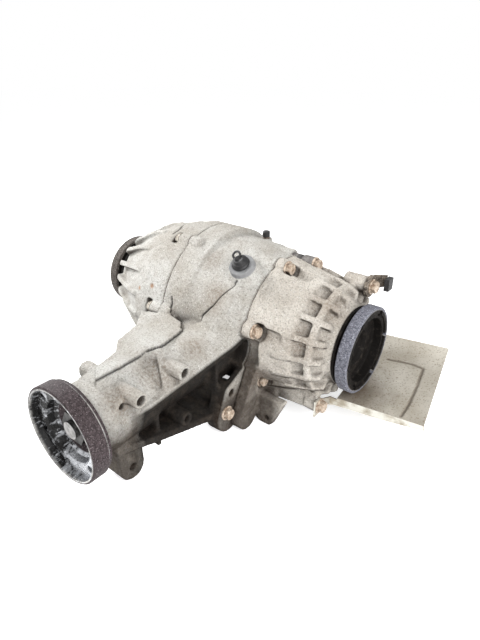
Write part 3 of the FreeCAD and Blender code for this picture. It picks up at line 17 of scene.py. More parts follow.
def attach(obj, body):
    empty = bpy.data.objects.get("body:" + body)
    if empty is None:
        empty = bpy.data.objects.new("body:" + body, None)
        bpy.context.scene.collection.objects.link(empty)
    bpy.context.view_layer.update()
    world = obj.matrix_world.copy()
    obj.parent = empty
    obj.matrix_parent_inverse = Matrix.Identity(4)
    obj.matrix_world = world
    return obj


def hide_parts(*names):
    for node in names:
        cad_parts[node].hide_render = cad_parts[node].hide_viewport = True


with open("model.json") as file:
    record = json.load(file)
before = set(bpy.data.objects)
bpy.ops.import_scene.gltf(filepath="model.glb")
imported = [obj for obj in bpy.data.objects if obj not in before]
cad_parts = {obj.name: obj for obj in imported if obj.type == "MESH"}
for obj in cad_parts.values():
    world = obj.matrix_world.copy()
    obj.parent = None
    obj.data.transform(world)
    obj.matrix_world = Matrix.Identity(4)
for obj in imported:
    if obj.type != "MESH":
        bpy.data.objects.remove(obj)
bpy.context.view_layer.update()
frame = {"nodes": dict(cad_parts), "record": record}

# %% [markdown]
# ## Camera
# The camera comes first, so that every finish can be judged in the view that matters. Its place was worked
# out from the flanges' ellipses and the bolts in the photograph. It looks along -back, and it is stated as an
# orbit round the point where the pinion's plane meets the output axis, with a small slide right and up.

# %% Camera
AZIMUTH = math.radians(38.707)
ELEVATION = math.radians(28.144)
DISTANCE = 0.689815
SLIDE_RIGHT = -0.007848
SLIDE_UP = -0.017695
AIM = Vector((-0.184, 0.0, 0.0))
LENS = 27.92
SENSOR_WIDTH = 36.0


def added(name, data):
    """A new object of the scene."""
    obj = bpy.data.objects.new(name, data)
    bpy.context.scene.collection.objects.link(obj)
    return obj


level = math.cos(ELEVATION)
back = Vector((math.sin(AZIMUTH) * level, -math.cos(AZIMUTH) * level, math.sin(ELEVATION)))
right = Vector((math.cos(AZIMUTH), math.sin(AZIMUTH), 0.0))
up = back.cross(right)
stand = AIM + back * DISTANCE + right * SLIDE_RIGHT + up * SLIDE_UP
camera_data = bpy.data.cameras.new("camera")
camera_data.lens = LENS
camera_data.sensor_width = SENSOR_WIDTH
camera = added("camera", camera_data)
camera.matrix_world = Matrix.Translation(stand) @ Matrix((right, up, back)).transposed().to_4x4()
bpy.context.scene.camera = camera
print("camera at", [round(v, 3) for v in camera.location])

# %% [markdown]
# ## Light and floor
# The photograph was cut out on white, and its light is broad and soft, from above and from the camera's
# side. Two large area lights do that: a key from the upper left, and a wider fill from just beside the
# camera, which brightens the covers' front. The world lights the shadows at under half strength, and only a
# ray that sees it directly, or in a reflection, finds it white.

# %% Lamps
MIDDLE = Vector((-0.19, -0.05, 0.0))


def area_light(name, shift, size, power):
    """A round soft lamp that looks at the part from a shift to the camera's right, up and back."""
    data = bpy.data.lights.new(name, "AREA")
    data.shape = "DISK"
    data.size = size
    data.energy = power
    place = MIDDLE + right * shift[0] + up * shift[1] + back * shift[2]
    turn = (MIDDLE - place).to_track_quat("-Z", "Y").to_matrix().to_4x4()
    added(name, data).matrix_world = Matrix.Translation(place) @ turn


area_light("key", shift=(-0.70, 0.75, -0.10), size=0.45, power=13.5)
area_light("fill", shift=(0.40, 0.05, 0.95), size=0.9, power=12.0)

# %% White world
WORLD_LIGHT = 0.46


def seen_directly(tree):
    """1 for a ray from the camera, from a mirror or through glass, and 0 for one that lights a surface."""
    path = tree.nodes.new("ShaderNodeLightPath")
    total = path.outputs["Is Camera Ray"]
    for name in ("Is Glossy Ray", "Is Transmission Ray"):
        add = tree.nodes.new("ShaderNodeMath")
        add.operation = "MAXIMUM"
        tree.links.new(total, add.inputs[0])
        tree.links.new(path.outputs[name], add.inputs[1])
        total = add.outputs["Value"]
    return total


def scaled(tree, value, share, start):
    """The value times a share, on top of a start."""
    node = tree.nodes.new("ShaderNodeMath")
    node.operation = "MULTIPLY_ADD"
    tree.links.new(value, node.inputs[0])
    node.inputs[1].default_value = share
    node.inputs[2].default_value = start
    return node.outputs["Value"]


world = bpy.data.worlds.new("world")
world.use_nodes = True
background = world.node_tree.nodes["Background"]
background.inputs["Color"].default_value = (1.0, 1.0, 1.0, 1.0)
strength = scaled(world.node_tree, seen_directly(world.node_tree), 1.0 - WORLD_LIGHT, WORLD_LIGHT)
world.node_tree.links.new(strength, background.inputs["Strength"])
bpy.context.scene.world = world
bpy.context.scene.view_settings.view_transform = "Standard"
print("world", WORLD_LIGHT, "for light and 1.0 where it is seen")

# %% [markdown]
# The floor is one plain quad just under the lowest pads. It is pale and matt, so it keeps the part's soft
# shadow, and a little glow that only the camera sees lifts the rest of it to the white of the backdrop.

# %% Floor
FLOOR_Z = -0.1102
FLOOR_HALF = 6.0
FLOOR_TONE = 0.93
FLOOR_GLOW = 0.57

floor_corners = [(x * FLOOR_HALF, y * FLOOR_HALF, FLOOR_Z) for x, y in ((-1, -1), (1, -1), (1, 1), (-1, 1))]
floor_mesh = bpy.data.meshes.new("floor")
floor_mesh.from_pydata(floor_corners, [], [(0, 1, 2, 3)])
floor = added("floor", floor_mesh)
floor_finish = bpy.data.materials.new("pale floor")
floor_finish.use_nodes = True
floor_tree = floor_finish.node_tree
floor_shader = floor_tree.nodes["Principled BSDF"]
floor_shader.inputs["Base Color"].default_value = (FLOOR_TONE, FLOOR_TONE, FLOOR_TONE, 1.0)
floor_shader.inputs["Roughness"].default_value = 0.95
floor_shader.inputs["Specular IOR Level"].default_value = 0.0
floor_shader.inputs["Emission Color"].default_value = (1.0, 1.0, 1.0, 1.0)
glow = scaled(floor_tree, seen_directly(floor_tree), FLOOR_GLOW, 0.0)
floor_tree.links.new(glow, floor_shader.inputs["Emission Strength"])
floor_mesh.materials.append(floor_finish)
print("floor at", FLOOR_Z)

# %% [markdown]
# ## A small kit for procedural finishes
# Each finish is a node tree in object coordinates, which here are the frame's metres, so one scale means the
# same grain on every piece. The class below keeps the trees short: it makes a node, sets its inputs and
# returns the output that the next one reads.

# %% Node kit
CREVICE_SAMPLES = 6


def srgb(red, green, blue):
    """A colour read as 0 to 255 values, as a shader wants it."""
    linear = []
    for value in (red, green, blue):
        share = value / 255
        linear.append(share / 12.92 if value <= 10 else ((share + 0.055) / 1.055) ** 2.4)
    return (*linear, 1.0)


class Finish:
    """A material and the calls that build its tree."""

    def __init__(self, name, roughness=0.6, metallic=0.0, specular=0.5):
        self.material = bpy.data.materials.new(name)
        self.material.use_nodes = True
        self.tree = self.material.node_tree
        self.shader = self.tree.nodes["Principled BSDF"]
        self.shader.inputs["Roughness"].default_value = roughness
        self.shader.inputs["Metallic"].default_value = metallic
        self.shader.inputs["Specular IOR Level"].default_value = specular
        self.place = self.tree.nodes.new("ShaderNodeTexCoord").outputs["Object"]

    def put(self, value, socket):
        """A link into a socket, or a plain value on it."""
        if hasattr(value, "is_linked"):
            self.tree.links.new(value, socket)
        else:
            socket.default_value = value

    def noise(self, scale, detail=2.0, rough=0.5, stretch=None):
        """Cloudy noise of so many waves to the metre."""
        node = self.tree.nodes.new("ShaderNodeTexNoise")
        place = self.place
        if stretch:
            mapping = self.tree.nodes.new("ShaderNodeMapping")
            mapping.inputs["Scale"].default_value = stretch
            self.tree.links.new(place, mapping.inputs["Vector"])
            place = mapping.outputs["Vector"]
        self.tree.links.new(place, node.inputs["Vector"])
        node.inputs["Scale"].default_value = scale
        node.inputs["Detail"].default_value = detail
        node.inputs["Roughness"].default_value = rough
        return node.outputs["Fac"]

    def ramp(self, value, low, high):
        """The value stretched so that low gives 0 and high gives 1."""
        node = self.tree.nodes.new("ShaderNodeMapRange")
        self.put(value, node.inputs["Value"])
        node.inputs["From Min"].default_value = low
        node.inputs["From Max"].default_value = high
        return node.outputs["Result"]

    def grain(self, low, high, scale, detail=2.0, rough=0.5):
        """Noise stretched so that its low level gives 0 and its high level gives 1."""
        return self.ramp(self.noise(scale, detail, rough), low, high)

    def math(self, operation, first, second):
        """Two values joined by a named sum, product or the like."""
        node = self.tree.nodes.new("ShaderNodeMath")
        node.operation = operation
        self.put(first, node.inputs[0])
        self.put(second, node.inputs[1])
        return node.outputs["Value"]

    def mix(self, share, first, second):
        """The first colour where the share is 0 and the second where it is 1."""
        node = self.tree.nodes.new("ShaderNodeMix")
        node.data_type = "RGBA"
        self.put(share, node.inputs["Factor"])
        self.put(first, node.inputs["A"])
        self.put(second, node.inputs["B"])
        return node.outputs["Result"]

    def over(self, color, coat, where, share=None):
        """A coat on a colour where the mask says so, at full strength or at a share of it."""
        mask = where if share is None else self.times(where, share)
        return self.mix(mask, color, coat)

    def crevice(self, distance):
        """1 in corners and hollows, 0 in the open."""
        node = self.tree.nodes.new("ShaderNodeAmbientOcclusion")
        node.samples = CREVICE_SAMPLES
        node.inputs["Distance"].default_value = distance
        return self.math("SUBTRACT", 1.0, node.outputs["AO"])

    def split(self, vector):
        """A vector's three numbers, by axis."""
        node = self.tree.nodes.new("ShaderNodeSeparateXYZ")
        self.tree.links.new(vector, node.inputs["Vector"])
        return node.outputs

    def facing(self, axis):
        """How much the surface looks along an axis, from -1 to 1."""
        return self.split(self.tree.nodes.new("ShaderNodeNewGeometry").outputs["Normal"])[axis]

    def along(self, axis):
        """The place along an axis, in metres."""
        return self.split(self.place)[axis]

    def away(self, point, flat=None):
        """The distance from a point, or from the line through it along the flat axis."""
        shift = self.tree.nodes.new("ShaderNodeVectorMath")
        shift.operation = "SUBTRACT"
        self.tree.links.new(self.place, shift.inputs[0])
        shift.inputs[1].default_value = point
        squeeze = self.tree.nodes.new("ShaderNodeVectorMath")
        squeeze.operation = "MULTIPLY"
        self.tree.links.new(shift.outputs["Vector"], squeeze.inputs[0])
        squeeze.inputs[1].default_value = tuple(0.0 if axis == flat else 1.0 for axis in "XYZ")
        length = self.tree.nodes.new("ShaderNodeVectorMath")
        length.operation = "LENGTH"
        self.tree.links.new(squeeze.outputs["Vector"], length.inputs[0])
        return length.outputs["Value"]

    def painted(self, name):
        """A number kept on the mesh's points."""
        node = self.tree.nodes.new("ShaderNodeAttribute")
        node.attribute_name = name
        return node.outputs["Fac"]

    def region(self, limits):
        """1 inside a region, whose limits each name an axis, where it fades out and where it is full."""
        return self.times(*[self.ramp(self.along(axis), out, full) for axis, out, full in limits])

    def plus(self, value, other, share):
        """A value and a share of another one."""
        return self.math("ADD", value, self.times(other, share))

    def times(self, *values):
        """All the values multiplied."""
        total = values[0]
        for value in values[1:]:
            total = self.math("MULTIPLY", total, value)
        return total

    def bump(self, height, distance, strength=1.0):
        """Small relief in the shading alone."""
        node = self.tree.nodes.new("ShaderNodeBump")
        self.put(height, node.inputs["Height"])
        node.inputs["Distance"].default_value = distance
        node.inputs["Strength"].default_value = strength
        self.tree.links.new(node.outputs["Normal"], self.shader.inputs["Normal"])

    def done(self, color, roughness=None):
        """The finished material in its colour."""
        self.put(color, self.shader.inputs["Base Color"])
        if roughness is not None:
            self.put(roughness, self.shader.inputs["Roughness"])
        return self.material


# %% [markdown]
# ## The finishes
# Cast aluminium that has lived under a car is pale where dust settles, speckled by its sand texture, and
# brown-black where oil and road dirt collect. The casting's tree paints crevices and undersides brown-black
# as dirt and painted shade together: it reads how closed in a point is and how far down it faces. Iron
# flanges are blue-grey with a mottled bloom, and the zinc on the bolts has turned pinkish and brassy.

# %% Casting finish
DUST = srgb(229, 228, 223)
SHADED_DUST = srgb(199, 194, 185)
WARM_DUST = srgb(232, 226, 216)
SHADED_WARM_DUST = srgb(208, 200, 189)
DULL_PATCH = srgb(172, 162, 149)
SAND = srgb(120, 107, 93)
PALE_GRAIN = srgb(248, 247, 243)
MUD = srgb(150, 134, 118)
GRIME_AND_SHADE = srgb(52, 41, 33)
OIL_AND_SHADE = srgb(20, 14, 10)
OILY_DUST_AND_SHADE = srgb(88, 76, 64)
RUST = srgb(176, 124, 78)
BARE_METAL = srgb(156, 157, 160)

FILLER_SEAT = Vector((-0.147, -0.0567, 0.0907))
SEAT_RADIUS = 0.0172
SEAT_FADE = 0.001
# Slope of the shelf's edge line, below which the neck's side is painted black as oil and shadow.
SHELF_SLOPE = -0.2075
SAND_RELIEF = 0.0034

# Stains: each has its middle and its radius.
RUST_SPOTS = [((-0.2936, -0.0930, 0.0315), 0.0060), ((-0.2685, -0.0923, 0.0410), 0.0060)]
HOUSING_MUD = [
    ((-0.158, -0.192, 0.006), 0.034),
    ((-0.150, -0.140, 0.014), 0.022),
    ((-0.166, -0.082, 0.050), 0.024),
    ((-0.196, -0.050, 0.082), 0.020),
    ((-0.150, -0.250, 0.002), 0.026),
]
RIGHT_MUD = [
    ((-0.052, -0.060, 0.020), 0.030),
    ((-0.040, -0.030, 0.062), 0.030),
    ((-0.100, -0.080, -0.040), 0.020),
]

# Regions: each limit names an axis, where the region fades out and where it is full.
NECK_SIDE = [("X", -0.1205, -0.1235), ("X", -0.200, -0.186), ("Y", -0.052, -0.066), ("Y", -0.246, -0.226)]
NECK_NOSE = [("Y", -0.222, -0.236)]
HOUSING_LOBE = [("Z", -0.046, -0.064), ("X", -0.134, -0.124), ("Y", -0.05, -0.07)]
COVER_SIDE_LOBE = [("X", -0.099, -0.106), ("Z", 0.004, -0.008), ("Y", -0.066, -0.080)]
COVER_LOW_LOBE = [("X", -0.066, -0.084), ("Z", -0.044, -0.070), ("Y", -0.045, -0.062)]


def dusty_start(name, dust=DUST, shaded=SHADED_DUST):
    """Dust, duller patches and two sizes of sand grain: what every casting has in common."""
    look = Finish(name, 0.9, specular=0.12)
    color = look.mix(look.grain(0.34, 0.66, 15, 4), shaded, dust)
    color = look.over(color, DULL_PATCH, look.grain(0.50, 0.74, 75, 4, 0.65), 0.5)
    color = look.over(color, SAND, look.grain(0.50, 0.64, 500, 4, 0.8), 0.62)
    color = look.over(color, PALE_GRAIN, look.grain(0.58, 0.70, 610, 2, 0.7), 0.8)
    return look, color


def unevenness(look):
    """The slow noise that gives every stain its ragged edge."""
    return look.noise(38, 4, 0.6)


def muddy(look, color, spots, uneven):
    """Brown speckled stains round some points."""
    speckle = look.ramp(look.grain(0.40, 0.60, 330, 4, 0.75), -0.35, 1.25)
    for place, size in spots:
        near = look.ramp(look.plus(look.away(place), uneven, 0.5 * size), 1.25 * size, 0.55 * size)
        color = look.over(color, MUD, look.times(near, speckle), 0.85)
    return color


def grime_and_painted_shade(look, color, uneven):
    """Dirt and painted shade in the corners and underneath, and the dark of cracked lines, which also paints
    shade along edges and creases.
    """
    # Painted shade: brown-black where a point is closed in, by ambient occlusion.
    closed = look.ramp(look.plus(look.crevice(0.022), uneven, 0.40), 0.46, 0.98)
    color = look.over(color, GRIME_AND_SHADE, closed, 0.92)
    # Painted shade: brown-black on faces that look down.
    below = look.ramp(look.plus(look.facing("Z"), uneven, 0.5), 0.10, -0.45)
    color = look.over(color, GRIME_AND_SHADE, below, 0.9)
    # Dark along the noted lines: cracks, and painted shade along the plate's edge and the crease.
    return look.over(color, OIL_AND_SHADE, look.painted("crack_and_shade"), 0.9)


def wear(look):
    """Where dirt has been rubbed off again."""
    return look.grain(0.46, 0.72, 95, 5, 0.7)


def worn_brown(look, worn, light):
    """A dark brown, rubbed to a lighter tone where it is worn."""
    return look.over(GRIME_AND_SHADE, light, worn, 0.6)


def cast_done(look, color):
    """The relief of the sand, in two sizes."""
    look.bump(look.plus(look.noise(480, 4, 0.8), look.noise(170, 3, 0.6), 1.4), SAND_RELIEF)
    return look.done(color)


def housing_finish():
    """The middle casting: the neck's right side under the shelf is black with oil and painted shadow, and its
    nose is brown.
    """
    look, color = dusty_start("dusty casting")
    uneven = unevenness(look)
    color = muddy(look, color, HOUSING_MUD, uneven)
    color = grime_and_painted_shade(look, color, uneven)
    worn = wear(look)
    brown = worn_brown(look, worn, srgb(126, 116, 105))
    # Darker brown towards the bottom of the neck's nose.
    low = look.ramp(look.plus(look.along("Z"), uneven, 0.05), 0.020, -0.012)
    color = look.over(color, brown, look.times(low, look.region(NECK_NOSE)), 0.85)
    # Oil and painted shadow: black, with duller patches, on the neck's side below the shelf's edge line.
    under_shelf_shadow = look.ramp(look.plus(look.along("Z"), look.along("Y"), SHELF_SLOPE), 0.0300, 0.0255)
    oily = look.over(OIL_AND_SHADE, OILY_DUST_AND_SHADE, worn, 0.32)
    color = look.over(color, oily, look.times(under_shelf_shadow, look.region(NECK_SIDE)), 0.96)
    # Darker brown over the housing's low lobe below the neck.
    color = look.over(color, brown, look.region(HOUSING_LOBE), 0.8)
    seat = look.ramp(look.away(FILLER_SEAT), SEAT_RADIUS + SEAT_FADE, SEAT_RADIUS)
    color = look.over(color, BARE_METAL, seat, 0.85)
    return cast_done(look, color)


def left_cover_finish():
    """The cover behind, with small spots of rust."""
    look, color = dusty_start("dusty left cover")
    uneven = unevenness(look)
    color = grime_and_painted_shade(look, color, uneven)
    for place, size in RUST_SPOTS:
        spot = look.ramp(look.plus(look.away(place), uneven, 0.003), size, 0.5 * size)
        color = look.over(color, RUST, spot, 0.75)
    return cast_done(look, color)


def right_cover_finish():
    """The ribbed cover: its lobes beside the neck and below are brown."""
    look, color = dusty_start("dusty right cover", WARM_DUST, SHADED_WARM_DUST)
    uneven = unevenness(look)
    color = muddy(look, color, RIGHT_MUD, uneven)
    color = grime_and_painted_shade(look, color, uneven)
    brown = worn_brown(look, wear(look), srgb(134, 124, 113))
    # Darker brown over the cover's lobe beside the neck and its low lobe below the hub.
    lobes = look.math("MAXIMUM", look.region(COVER_SIDE_LOBE), look.region(COVER_LOW_LOBE))
    color = look.over(color, brown, lobes, 0.85)
    return cast_done(look, color)


print("castings have", len(HOUSING_MUD) + len(RIGHT_MUD), "stains and", len(RUST_SPOTS), "rust spots")

# %% [markdown]
# The flanges turn, so their finishes read the distance from their own axis: a mottled blue-grey rim that the
# wheel spray has dusted, and a bolting face that is nearly black with old grease. The input flange's bowl is
# oilier still, so it is glossy and mirrors the room in streaks, and its lower right side is painted pale in
# streaks as a reflection.

# %% Iron and bolt finishes
OUTPUT_AXIS = (0.0, 0.0, 0.0)
INPUT_AXIS = (-0.184, 0.0, -0.027)
INPUT_SHINE = (-0.160, -0.290, -0.052)
BRIGHT_EDGE = srgb(150, 146, 140)
GREASE = srgb(13, 10, 8)
DRY_GREASE = srgb(56, 51, 46)
WET_OIL_AND_SHADE = srgb(12, 11, 11)
WASHED_IRON_REFLECTION = srgb(196, 198, 202)

# Where a zone fades out and where it is full: radii of the flanges, and places along an axis.
OUTPUT_FACE = (0.0511, 0.0505)
OUTPUT_LIP = (0.0500, 0.0506)
INPUT_BOWL = (0.0535, 0.0530)
INPUT_LIP = (0.0508, 0.0518)
INPUT_DEPTH = (-0.2805, -0.2815)
STREAK_STRETCH = (1.0, 0.35, 1.0)
SLEEVE_BAND = [("X", -0.118, -0.1175), ("X", -0.1115, -0.112)]


def output_iron(name, dark, light, bloom):
    """Mottled rim, thin bright lip and a black greasy face inside it."""
    look = Finish(name, 0.72, specular=0.15)
    centre = look.away(OUTPUT_AXIS, "X")
    color = look.mix(look.grain(0.38, 0.64, 330, 4, 0.75), dark, light)
    color = look.over(color, bloom, look.grain(0.56, 0.68, 820, 2, 0.6))
    face = look.mix(look.grain(0.52, 0.75, 120, 4, 0.7), GREASE, DRY_GREASE)
    lip = look.times(look.ramp(centre, *OUTPUT_LIP), look.grain(0.35, 0.60, 150, 3, 0.7))
    face = look.over(face, BRIGHT_EDGE, lip)
    color = look.over(color, face, look.ramp(centre, *OUTPUT_FACE))
    # Painted shade: near black in the corners and holes, by ambient occlusion.
    color = look.over(color, srgb(20, 18, 17), look.ramp(look.crevice(0.006), 0.40, 0.95))
    look.bump(look.noise(620, 4, 0.75), 0.0014, 0.8)
    return look.done(color)


def input_iron():
    """A dark band, a bright lip, and a bowl that is black with oil on one side and clean on the other, with a
    painted reflection there.
    """
    look = Finish("oily flange iron", 0.6, specular=0.2)
    centre = look.away(INPUT_AXIS, "Y")
    color = look.mix(look.grain(0.38, 0.66, 300, 4, 0.7), srgb(38, 31, 32), srgb(74, 64, 66))
    color = look.over(color, srgb(138, 128, 130), look.grain(0.60, 0.72, 800, 2, 0.6))
    bowl = look.times(look.ramp(centre, *INPUT_BOWL), look.ramp(look.along("Y"), *INPUT_DEPTH))
    # Painted reflection: the bowl is paler in streaks, most of all towards its lower right side, and glossy
    # and partly metallic there.
    washed_and_reflection = look.ramp(look.away(INPUT_SHINE), 0.044, 0.014)
    streak = look.plus(look.noise(90, 5, 0.8, STREAK_STRETCH), washed_and_reflection, 0.20)
    hollow = look.mix(look.ramp(streak, 0.50, 0.63), WET_OIL_AND_SHADE, WASHED_IRON_REFLECTION)
    lip = look.times(look.ramp(centre, *INPUT_LIP), look.grain(0.34, 0.58, 140, 3, 0.7))
    hollow = look.over(hollow, srgb(170, 168, 164), lip)
    color = look.over(color, hollow, bowl)
    # Painted shade: black in the corners and holes, by ambient occlusion.
    color = look.over(color, WET_OIL_AND_SHADE, look.ramp(look.crevice(0.006), 0.50, 0.98))
    look.put(look.times(bowl, look.ramp(streak, 0.52, 0.66), 0.9), look.shader.inputs["Metallic"])
    look.bump(look.noise(420, 4, 0.7), 0.0010, 0.6)
    return look.done(color, look.ramp(bowl, 1.5, -0.9))


def bolt_finish(name, dark, light):
    """Zinc that has turned dull, with painted shade in the corners of the head."""
    look = Finish(name, 0.5, 0.15, specular=0.3)
    color = look.mix(look.grain(0.36, 0.66, 240, 3, 0.6), light, dark)
    color = look.over(color, srgb(88, 70, 56), look.grain(0.56, 0.68, 520, 3, 0.7))
    # Painted shade: dark in the corners of the head, by ambient occlusion.
    color = look.over(color, srgb(34, 25, 20), look.ramp(look.crevice(0.007), 0.26, 0.75))
    look.bump(look.noise(900, 2), 0.0005, 0.6)
    return look.done(color)


def sleeve_finish():
    """Grey iron with a dark band near the sleeve's end."""
    look = Finish("sleeve iron", 0.6)
    color = look.mix(look.grain(0.38, 0.66, 300, 4, 0.7), srgb(84, 80, 78), srgb(132, 128, 124))
    color = look.over(color, srgb(40, 38, 38), look.region(SLEEVE_BAND), 0.8)
    # Painted shade: near black in the corners, by ambient occlusion.
    color = look.over(color, srgb(24, 20, 18), look.ramp(look.crevice(0.012), 0.35, 0.9))
    look.bump(look.noise(620, 3, 0.7), 0.0008, 0.5)
    return look.done(color)


FINISHES = {
    "cast": housing_finish(),
    "left_cover": left_cover_finish(),
    "right_cover": right_cover_finish(),
    "flange": output_iron("mottled flange iron", srgb(74, 75, 83), srgb(126, 127, 137), srgb(172, 173, 182)),
    "left_flange": output_iron("brown flange iron", srgb(54, 49, 46), srgb(102, 96, 91), srgb(136, 130, 124)),
    "input": input_iron(),
    "bolt": bolt_finish("worn zinc", srgb(142, 120, 100), srgb(214, 198, 180)),
    "dusty_bolt": bolt_finish("dusty zinc", srgb(150, 140, 126), srgb(206, 200, 188)),
    "sleeve": sleeve_finish(),
}
print("finishes", sorted(FINISHES))

# %% [markdown]
# Sheet metal, gears, bearings, rubber and gaskets. The inner pieces show only where the part is opened, so
# their finishes are simple but still have a grain.

# %% Sheet, gear, rubber and gasket finishes
# Middle and colour of the painted shadow that the flange above throws on the sheet.
FLANGE_SHADOW_MIDDLE = (-0.012, 0.004, -0.062)
FLANGE_SHADOW_BROWN = srgb(84, 72, 58)


def sheet_finish():
    """Dust on sheet, a painted brown shadow below the flange, and a bent-over lip painted pale as if lit."""
    look = Finish("dusty shield sheet", 0.85, specular=0.15)
    uneven = look.noise(45, 4, 0.6)
    color = look.mix(look.grain(0.35, 0.68, 22, 4), srgb(172, 165, 152), srgb(200, 195, 184))
    color = look.over(color, srgb(118, 106, 92), look.grain(0.54, 0.66, 420, 3, 0.7), 0.7)
    # Painted shadow: brown round the place below the flange.
    flange_shadow = look.ramp(look.plus(look.away(FLANGE_SHADOW_MIDDLE), uneven, 0.03), 0.072, 0.026)
    color = look.over(color, FLANGE_SHADOW_BROWN, flange_shadow, 0.85)
    # Painted light: faces that look along -Y, the bent-over lip, are pale cream, duller in patches.
    painted_lit_lip = look.mix(look.ramp(uneven, 0.45, 0.62), srgb(232, 230, 220), srgb(176, 166, 148))
    color = look.over(color, painted_lit_lip, look.ramp(look.facing("Y"), -0.55, -0.80))
    # Painted shade: dark brown in the corners, by ambient occlusion.
    color = look.over(color, srgb(58, 46, 37), look.ramp(look.crevice(0.02), 0.45, 1.0), 0.85)
    # Painted shade along the emboss's pressed line.
    color = look.over(color, srgb(84, 72, 60), look.painted("crack_and_shade"), 0.7)
    look.bump(look.noise(500, 3), 0.0008, 0.5)
    return look.done(color)


def bracket_finish():
    """Dark plate with dried mud on it."""
    look = Finish("muddy bracket plate", 0.85)
    color = look.mix(look.grain(0.40, 0.62, 120, 4, 0.7), srgb(44, 36, 30), srgb(124, 114, 102))
    color = look.over(color, srgb(176, 168, 156), look.grain(0.58, 0.68, 420, 3, 0.7))
    look.bump(look.noise(500, 3), 0.0010, 0.6)
    return look.done(color)


def steel_finish(name, dark, light, roughness, scale=240):
    """Worked steel between two tones."""
    look = Finish(name, roughness, 0.9)
    color = look.mix(look.grain(0.35, 0.7, scale, 2), dark, light)
    look.bump(look.noise(1400, 1), 0.0001, 0.3)
    return look.done(color)


def rubber_finish(name, tone):
    """Black rubber whose dust is a little lighter."""
    look = Finish(name, 0.55)
    rubber = srgb(tone, tone, tone + 2)
    dust = srgb(tone + 22, tone + 20, tone + 20)
    color = look.mix(look.grain(0.4, 0.7, 300, 2), rubber, dust)
    look.bump(look.noise(900, 2), 0.0002, 0.4)
    return look.done(color)


FINISHES["sheet"] = sheet_finish()
STEELS = {
    "gear": ("oiled gear steel", srgb(96, 94, 92), srgb(150, 148, 146), 0.28),
    "bearing": ("polished bearing steel", srgb(160, 160, 164), srgb(206, 206, 210), 0.18, 500),
    "nut": ("oily nut steel", srgb(20, 19, 18), srgb(74, 72, 70), 0.35),
    "case": ("machined case iron", srgb(70, 70, 72), srgb(112, 112, 114), 0.45),
}
for key, values in STEELS.items():
    FINISHES[key] = steel_finish(*values)
FINISHES["rubber"] = rubber_finish("seal rubber", 22)
FINISHES["plug"] = rubber_finish("black plug", 10)
FINISHES["gasket"] = FINISHES["right_cover"]
FINISHES["bracket"] = bracket_finish()

# %% [markdown]
# ## Dress the CAD nodes
# Every node whose shape is right stays as it is and only gets a finish. The record's slots name what each one
# is made of, so the table goes from slot to finish, and a few pieces get their own.

# %% Give each node its finish
BY_SLOT = {
    "cast_aluminium": "cast",
    "flange_iron": "flange",
    "input_flange_iron": "input",
    "bolt_steel": "bolt",
    "gear_steel": "gear",
    "bearing_steel": "bearing",
    "case_iron": "case",
    "seal_rubber": "rubber",
    "plug_rubber": "plug",
    "shield_sheet": "sheet",
    "gasket_paper": "gasket",
    "bracket_steel": "bracket",
}
OWN = {
    "top_sleeve": "sleeve",
    "left_output_flange": "left_flange",
    "left_cover_bolts": "dusty_bolt",
    "pinion_nut": "nut",
}


def dress(obj, finish):
    """One finish all over an object."""
    obj.data.materials.clear()
    obj.data.materials.append(FINISHES[finish])


for part in frame["record"]["subparts"]:
    node = frame["nodes"][part["node"]]
    dress(node, OWN.get(part["node"], BY_SLOT[part["material_slot"]]))

# %% [markdown]
# ## Castings
# A casting has no sharp corner: each inner one is filled by its radius and each outer one is worn. Rebuilding
# the CAD solid from small voxels and relaxing it gives every edge such a radius at once, and a slow and a
# fine wave then break up the surface as sand does. The new mesh replaces the CAD node in the picture.

# %% Rebuild the castings
VOXEL = 0.0014
RELAX = 8
RELAX_SHARE = 0.5
SURFACE = (("waves", 0.012, 0.0008), ("sand", 0.0022, 0.0005))


def cast_piece(node, body, finish):
    """A copy of a CAD casting with soft edges and a sand surface, in place of the node."""
    source = frame["nodes"][node]
    piece = added(node + "_cast", source.data.copy())
    remesh = piece.modifiers.new("remesh", "REMESH")
    remesh.mode = "VOXEL"
    remesh.voxel_size = VOXEL
    relax = piece.modifiers.new("relax", "SMOOTH")
    relax.factor = RELAX_SHARE
    relax.iterations = RELAX
    for name, size, depth in SURFACE:
        texture = bpy.data.textures.new(node + name, "CLOUDS")
        texture.noise_scale = size
        push = piece.modifiers.new(name, "DISPLACE")
        push.texture = texture
        push.strength = depth
    shaped = piece.evaluated_get(bpy.context.evaluated_depsgraph_get())
    mesh = bpy.data.meshes.new_from_object(shaped)
    piece.modifiers.clear()
    piece.data = mesh
    mesh.shade_smooth()
    dress(piece, finish)
    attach(piece, body)
    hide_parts(node)
    print(piece.name, "vertices", len(mesh.vertices))
    return piece


housing = cast_piece("main_housing", "housing", "cast")
left_cover = cast_piece("left_cover", "housing", "left_cover")
cast_piece("right_cover", "housing", "right_cover")

# %% [markdown]
# ## Plate, cracks, parting lines and painted shade
# The neck's top carries a thin cast plate whose edge throws a fine shadow, the filler's swell ends in a
# crease, and dust has cracked along the parting lines. The plate is lifted out of the neck's own mesh. A line
# is laid on the surface point by point, the mesh is pushed in beside it, and how far it goes is kept on the
# mesh's points, where the finish paints it dark: as dirt in the cracks, and as painted shadow along the
# plate's edge and painted shade in the crease.

